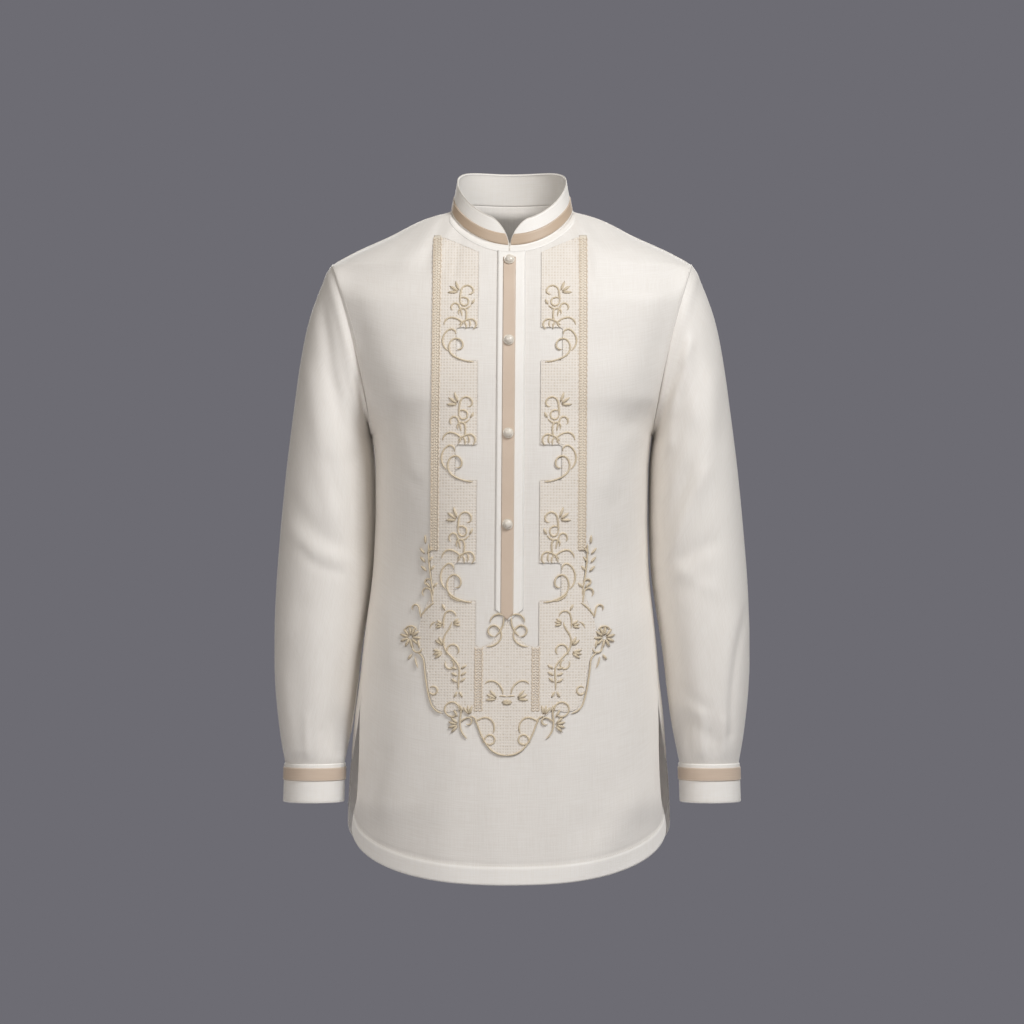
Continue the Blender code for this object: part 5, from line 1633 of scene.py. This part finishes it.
bpy.ops.object.select_all(action="DESELECT")
bpy.ops.mesh.primitive_cylinder_add(vertices=48, radius=BUTTON_RADIUS * MM, depth=BUTTON_EDGE * MM,
                                    location=(0, 0, BUTTON_EDGE * MM / 2))
rim = bpy.context.object
bpy.ops.object.mode_set(mode="EDIT")
bpy.ops.mesh.select_all(action="DESELECT")
bpy.ops.object.mode_set(mode="OBJECT")
for face in rim.data.polygons:
    face.select = face.normal.z > 0.9
bpy.ops.object.mode_set(mode="EDIT")
bpy.ops.mesh.inset(thickness=RIM_INSET * MM)
bpy.ops.transform.translate(value=(0, 0, -RIM_SUNK * MM))
bpy.ops.mesh.select_all(action="SELECT")
bpy.ops.mesh.bevel(offset=RIM_ROUNDED * MM, segments=3, affect="EDGES")
bpy.ops.object.mode_set(mode="OBJECT")
bpy.ops.object.select_all(action="DESELECT")
bpy.ops.mesh.primitive_uv_sphere_add(segments=40, ring_count=20, radius=DOME_RADIUS * MM)
dome = bpy.context.object
bpy.ops.object.mode_set(mode="EDIT")
bpy.ops.mesh.select_all(action="SELECT")
bpy.ops.transform.resize(value=(1, 1, (BUTTON_DOME + DOME_SUNK) / DOME_RADIUS))
bpy.ops.mesh.bisect(plane_co=(0, 0, 0), plane_no=(0, 0, 1), clear_inner=True, use_fill=True)
bpy.ops.mesh.select_all(action="SELECT")
bpy.ops.transform.translate(value=(0, 0, (BUTTON_EDGE - DOME_SUNK) * MM))
bpy.ops.object.mode_set(mode="OBJECT")
pattern_button = join("pattern_button", rim, dome)
only(pattern_button)
bpy.ops.object.transform_apply()
bpy.ops.object.shade_smooth_by_angle(angle=math.radians(40))
pattern_button.data.materials.clear()
pattern_button.data.materials.append(PEARL)
print("one button:", count(pattern_button), "triangles")


# %% Place the buttons
def place_button(name, place, outward, size=1.0):
    """A copy of the button whose foot is at a place in millimetres, facing outwards."""
    mesh = pattern_button.data.copy()
    z = np.array(unit(np.asarray(outward, float)))
    x = unit(np.cross((0, 0, 1.0), z))
    y = np.cross(z, x)
    points = np.empty(len(mesh.vertices) * 3)
    mesh.vertices.foreach_get("co", points)
    points = points.reshape(-1, 3) * size
    moved = points @ np.stack([x, y, z]) + np.asarray(place) * MM
    mesh.vertices.foreach_set("co", moved.ravel())
    mesh.update()
    piece = bpy.data.objects.new(name, mesh)
    bpy.context.collection.objects.link(piece)
    return piece


buttons = {}
for number, height in enumerate(BUTTON_HEIGHTS, 1):
    x = np.array([centre_line(height) + BUTTON_LINE])
    place, out = on_front(x, np.array([height]), np.array([PLACKET_PROUD + BUTTON_PROUD]))
    buttons[f"button_{number}"] = place_button(f"shirt_button_{number}", place[0], out[0])
for word, side in SIDES:
    proud = CUFF_PROUD + CUFF_BUTTON_PROUD
    place, out = cuff_band(side, [CUFF_BOTTOM + CUFF_BUTTON_UP], proud, 360 + CUFF_OVERLAP / 2)
    name = f"cuff_button_{word}"
    buttons[name] = place_button(f"shirt_{name}", place[0, 0], out[0, 0], CUFF_BUTTON_SIZE)
bpy.data.objects.remove(pattern_button, do_unlink=True)
print(len(buttons), "buttons")

# %% [markdown]
# ## Sewing
# A shirt is read by its stitches. Rows of machine stitches hold the hem, vents, armholes and shoulders, the
# edges of the placket, collar and cuffs, both edges of every ribbon, and the notched edge of the net
# ground. Each row is a line a little inside an edge, with a bead for every stitch.

# %% Rows of stitches
STITCH_PITCH, STITCH_LENGTH, STITCH_WIDTH, STITCH_HEIGHT, NET_STITCH_PITCH = 2.6, 1.9, 0.55, 0.45, 2.2
ARMHOLE_INSET, SHOULDER_INSET, VENT_INSET, VENT_ROWS = 6.5, 4.0, 7.0, 26
ON_CLOTH, ON_HEM, ON_NET = 0.1, HEM_PROUD - HEM_DIP + 0.05, CALADO_PROUD + 0.4
ON_BAND, ON_RIBBON = 0.02, LAID_GAP + RIBBON_THICK
PLACKET_EDGE_INSET, RIBBON_EDGE_INSET, BAND_EDGE_INSET = 1.6, 0.9, 1.8
COLLAR_ENDS_FREE = 0.42  # the angle at each front end that is left without stitches
rows_of_stitches = []


def sew(points, outs, pitch=STITCH_PITCH):
    """Sew one row along a path that already lies on the cloth."""
    at, out = spaced(points, outs, pitch)
    along = unit(np.gradient(at, axis=0))
    rows_of_stitches.append((at, at + along * STITCH_LENGTH, out))


def inset_line(grid, edge, inset):
    """The line that stays a distance inside one side boundary of a grid."""
    line = grid if edge == 0 else grid[:, ::-1]
    far = run_lengths(line, 1)
    return np.stack([[np.interp(inset, far[i], line[i, :, k]) for k in range(3)] for i in range(len(line))])


def sew_inset(grid, outs, edge, inset, first, last):
    """Sew a row inside one side boundary of a grid, from its first to its last row."""
    line = inset_line(grid, edge, inset)
    out = outs[:, edge]
    sew(line[first:last] + out[first:last] * ON_CLOTH, out[first:last])


arm_row = HEM_ROWS + SIDE_ROWS
tip_row = arm_row + ARMHOLE_ROWS
for grid, out in ((front_grid, front_out), (back_grid, back_out)):
    sew(grid[HEM_ROWS, 3:-3] + out[HEM_ROWS, 3:-3] * ON_HEM, out[HEM_ROWS, 3:-3])
    for edge in (0, -1):
        sew_inset(grid, out, edge, ARMHOLE_INSET, arm_row + 3, tip_row)
        sew_inset(grid, out, edge, SHOULDER_INSET, tip_row + 2, len(grid) - 3)
        sew_inset(grid, out, edge, VENT_INSET, 1, HEM_ROWS + VENT_ROWS)
half, half_ribbon = PLACKET_WIDTH / 2 - PLACKET_EDGE_INSET, PLACKET_RIBBON_WIDTH / 2
for aside, top, bottom, proud in (
    (PLACKET_ASIDE - PLACKET_WIDTH / 2 + PLACKET_EDGE_INSET, -56, -465, ON_BAND),
    (PLACKET_ASIDE + half, -56, -465, ON_BAND),
    (0.1 - half_ribbon, -64, -468, PLACKET_RIBBON_PROUD + ON_BAND),
    (half_ribbon - 1.7, -64, -468, PLACKET_RIBBON_PROUD + ON_BAND),
):
    z = np.linspace(top, bottom, 200)
    sew(*on_front(centre_line(z) + aside, z, PLACKET_PROUD + proud + 0 * z))
turns = np.linspace(COLLAR_ENDS_FREE, 2 * math.pi - COLLAR_ENDS_FREE, 200)
for up in (-5.3, COLLAR_RIBBON_LOW + RIBBON_EDGE_INSET, COLLAR_RIBBON_HIGH - RIBBON_EDGE_INSET, 28.0):
    raised = ON_RIBBON if COLLAR_RIBBON_LOW < up < COLLAR_RIBBON_HIGH else 0.0
    sew(*collar_point(turns, up + 0 * turns, raised + ON_BAND + 0 * turns))
for word, side in SIDES:
    for up in (2.0, CUFF_RIBBON_LOW + RIBBON_EDGE_INSET, CUFF_RIBBON_HIGH - RIBBON_EDGE_INSET,
               CUFF_TOP - CUFF_BOTTOM - BAND_EDGE_INSET):
        raised = ON_RIBBON if CUFF_RIBBON_LOW < up < CUFF_RIBBON_HIGH else 0.0
        grid, out = cuff_band(side, [CUFF_BOTTOM + up], CUFF_PROUD + raised, CUFF_OVERLAP + 1)
        sew(grid[0], out[0])
border = np.concatenate([outline[-14:], outline[:1]])  # the notched inner edge of the ground
path = np.concatenate([np.linspace(a, b, 24)[:-1] for a, b in zip(border, border[1:])])
for word, side in SIDES:
    x = centre_line(path[:, 1]) + side * path[:, 0]
    sew(*on_front(x, path[:, 1], np.full(len(path), ON_NET)), NET_STITCH_PITCH)
starts, ends, outs = (np.concatenate(rows) for rows in zip(*rows_of_stitches))
stitches = beads("shirt_stitches", starts, ends, outs, STITCH_WIDTH, STITCH_HEIGHT, SEWING)
print("stitches:", len(stitches.data.polygons) // 16, "triangles:", count(stitches))

# %% [markdown]
# ## What each piece is
# Every piece rides on the shirt's one body. All but the stitches, the braid tapes and the scrolls replace
# the plain solid that they stand for. The size that each cloth piece was cut to is worked out and printed,
# except for the tapes, which are too narrow.

pieces = [
    (body_front, ("body_front",), "jusi_cloth"),
    (body_back, ("body_back",), "jusi_cloth"),
    (collar, ("collar",), "interlined_cloth"),
    (collar_ribbon, ("collar_ribbon",), "beige_ribbon"),
    (placket, ("placket",), "interlined_cloth"),
    (placket_ribbon, ("placket_ribbon",), "beige_ribbon"),
    (stitches, (), "jusi_cloth"),
]
for word, _side in SIDES:
    pieces += [
        (sleeves[word], (f"sleeve_{word}",), "jusi_cloth"),
        (cuffs[word], (f"cuff_{word}",), "interlined_cloth"),
        (cuff_ribbons[word], (f"cuff_ribbon_{word}",), "beige_ribbon"),
        (braids[word], (f"braid_{word}",), "tan_braid"),
        (tapes[word], (), "tan_braid"),
        (calado[word], (f"pechera_{word}",), "embroidered_net"),
        (scrolls[word], (), "tan_braid"),
    ]
for node, piece in buttons.items():
    pieces.append((piece, (node,), "pearl_shell"))


print(len(pieces), "pieces listed")


# %% Cut sizes of the sheets
def cut_of(piece):
    """The width, length and area in metres that a sheet is cut to, from its cloth coordinates."""
    mesh = piece.data
    uv = np.empty(len(mesh.loops) * 2)
    mesh.uv_layers["cloth"].data.foreach_get("uv", uv)
    uv = uv.reshape(-1, 2)
    first = np.empty(len(mesh.polygons), np.int32)
    mesh.polygons.foreach_get("loop_start", first)
    following = np.arange(1, len(uv) + 1)
    following[np.append(first[1:], len(uv)) - 1] = first
    cross = uv[:, 0] * uv[following, 1] - uv[:, 1] * uv[following, 0]
    area = np.abs(np.add.reduceat(cross, first)).sum() / 2
    return [float(size) for size in np.ptp(uv, axis=0)], area


def declare(piece, known=None, layers=2):
    """Print a sheet's cut; known gives the width and length in mm of one cut as a plain strip."""
    (wide, long_), area = cut_of(piece)
    area /= layers
    if known:
        wide, long_ = known[0] * MM, known[1] * MM
    area = float(min(area, wide * long_))
    print(f"{piece.name}: cut {wide / MM:.0f} by {long_ / MM:.0f} mm, {area * 1e4:.0f} square cm")


for piece in (body_front, body_back, *sleeves.values()):
    declare(piece)
for piece in (*cuffs.values(), *cuff_ribbons.values()):
    declare(piece)
ribbon_length = PLACKET_RIBBON_TOP - PLACKET_RIBBON_BOTTOM + 10
declare(collar_ribbon, (432, COLLAR_RIBBON_HIGH - COLLAR_RIBBON_LOW + 0.5))
declare(collar, (445, COLLAR_HEIGHT + COLLAR_LAP))
declare(placket, (PLACKET_WIDTH + 0.8, PLACKET_TOP - PLACKET_BOTTOM))
declare(placket_ribbon, (PLACKET_RIBBON_WIDTH + 0.8, ribbon_length))
for piece in calado.values():
    declare(piece, layers=1)

# %% Ride and replace
total = 0
for piece, nodes, slot in pieces:
    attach(piece, "root")
    if nodes:
        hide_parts(*nodes)
    total += count(piece)
print("triangles in all:", total)

# %% [markdown]
# ## The studio
# A pale floor far below the shirt, an even grey surround, and large soft lights: the key high at the front
# right, a weaker fill from the left, and two behind, so that no side goes dark. Small lights would draw
# hard shadows that hide the folds.

# %% Floor, surround and lights
FLOOR_HEIGHT, FLOOR_RADIUS = -1.32, 2.4
bpy.ops.object.select_all(action="DESELECT")
bpy.ops.mesh.primitive_circle_add(vertices=96, radius=FLOOR_RADIUS, fill_type="NGON",
                                  location=(0, 0, FLOOR_HEIGHT))
floor = bpy.context.object
floor.name = "studio_floor"
bpy.ops.object.transform_apply()
floor.data.materials.append(start_finish("matt studio floor", "B9B9BE", 0.8))

world = bpy.data.worlds.new("studio")
world.use_nodes = True
seen = world.node_tree.nodes["Background"]
seen.inputs["Color"].default_value = linear("6D6C73")
glow = add_node(world, "ShaderNodeBackground", {"Color": linear("5E5A55")})
straight = add_node(world, "ShaderNodeLightPath", {}, "Is Camera Ray")
surround = add_node(world, "ShaderNodeMixShader", {0: straight, 1: glow, 2: seen.outputs[0]})
connect(world, world.node_tree.nodes["World Output"], {"Surface": surround})
bpy.context.scene.world = world


def soft_light(name, place, aim, size, power, hex_colour="FFFFFF"):
    """A square area light at a place in metres, turned to face its aim."""
    data = bpy.data.lights.new(name, "AREA")
    data.size = size
    data.energy = power
    data.color = linear(hex_colour)[:3]
    lamp = bpy.data.objects.new(name, data)
    away = np.array(place, float) - np.array(aim, float)
    flat = math.hypot(away[0], away[1])
    lamp.location = place
    lamp.rotation_euler = (math.atan2(flat, away[2]), 0, math.atan2(away[0], -away[1]))
    bpy.context.collection.objects.link(lamp)


soft_light("key", (1.8, -2.2, 2.2), aim=(0, 0, -0.25), size=1.3, power=103, hex_colour="FAFCFF")
soft_light("fill", (-1.6, -3.4, 0.9), aim=(0, 0, -0.4), size=2.0, power=46, hex_colour="FFFCFA")
soft_light("back_left", (-0.7, 3.0, 1.0), aim=(0, 0, -0.3), size=1.4, power=28)
soft_light("back_right", (0.7, 3.0, 1.0), aim=(0, 0, -0.3), size=1.4, power=23)
print("studio lit")
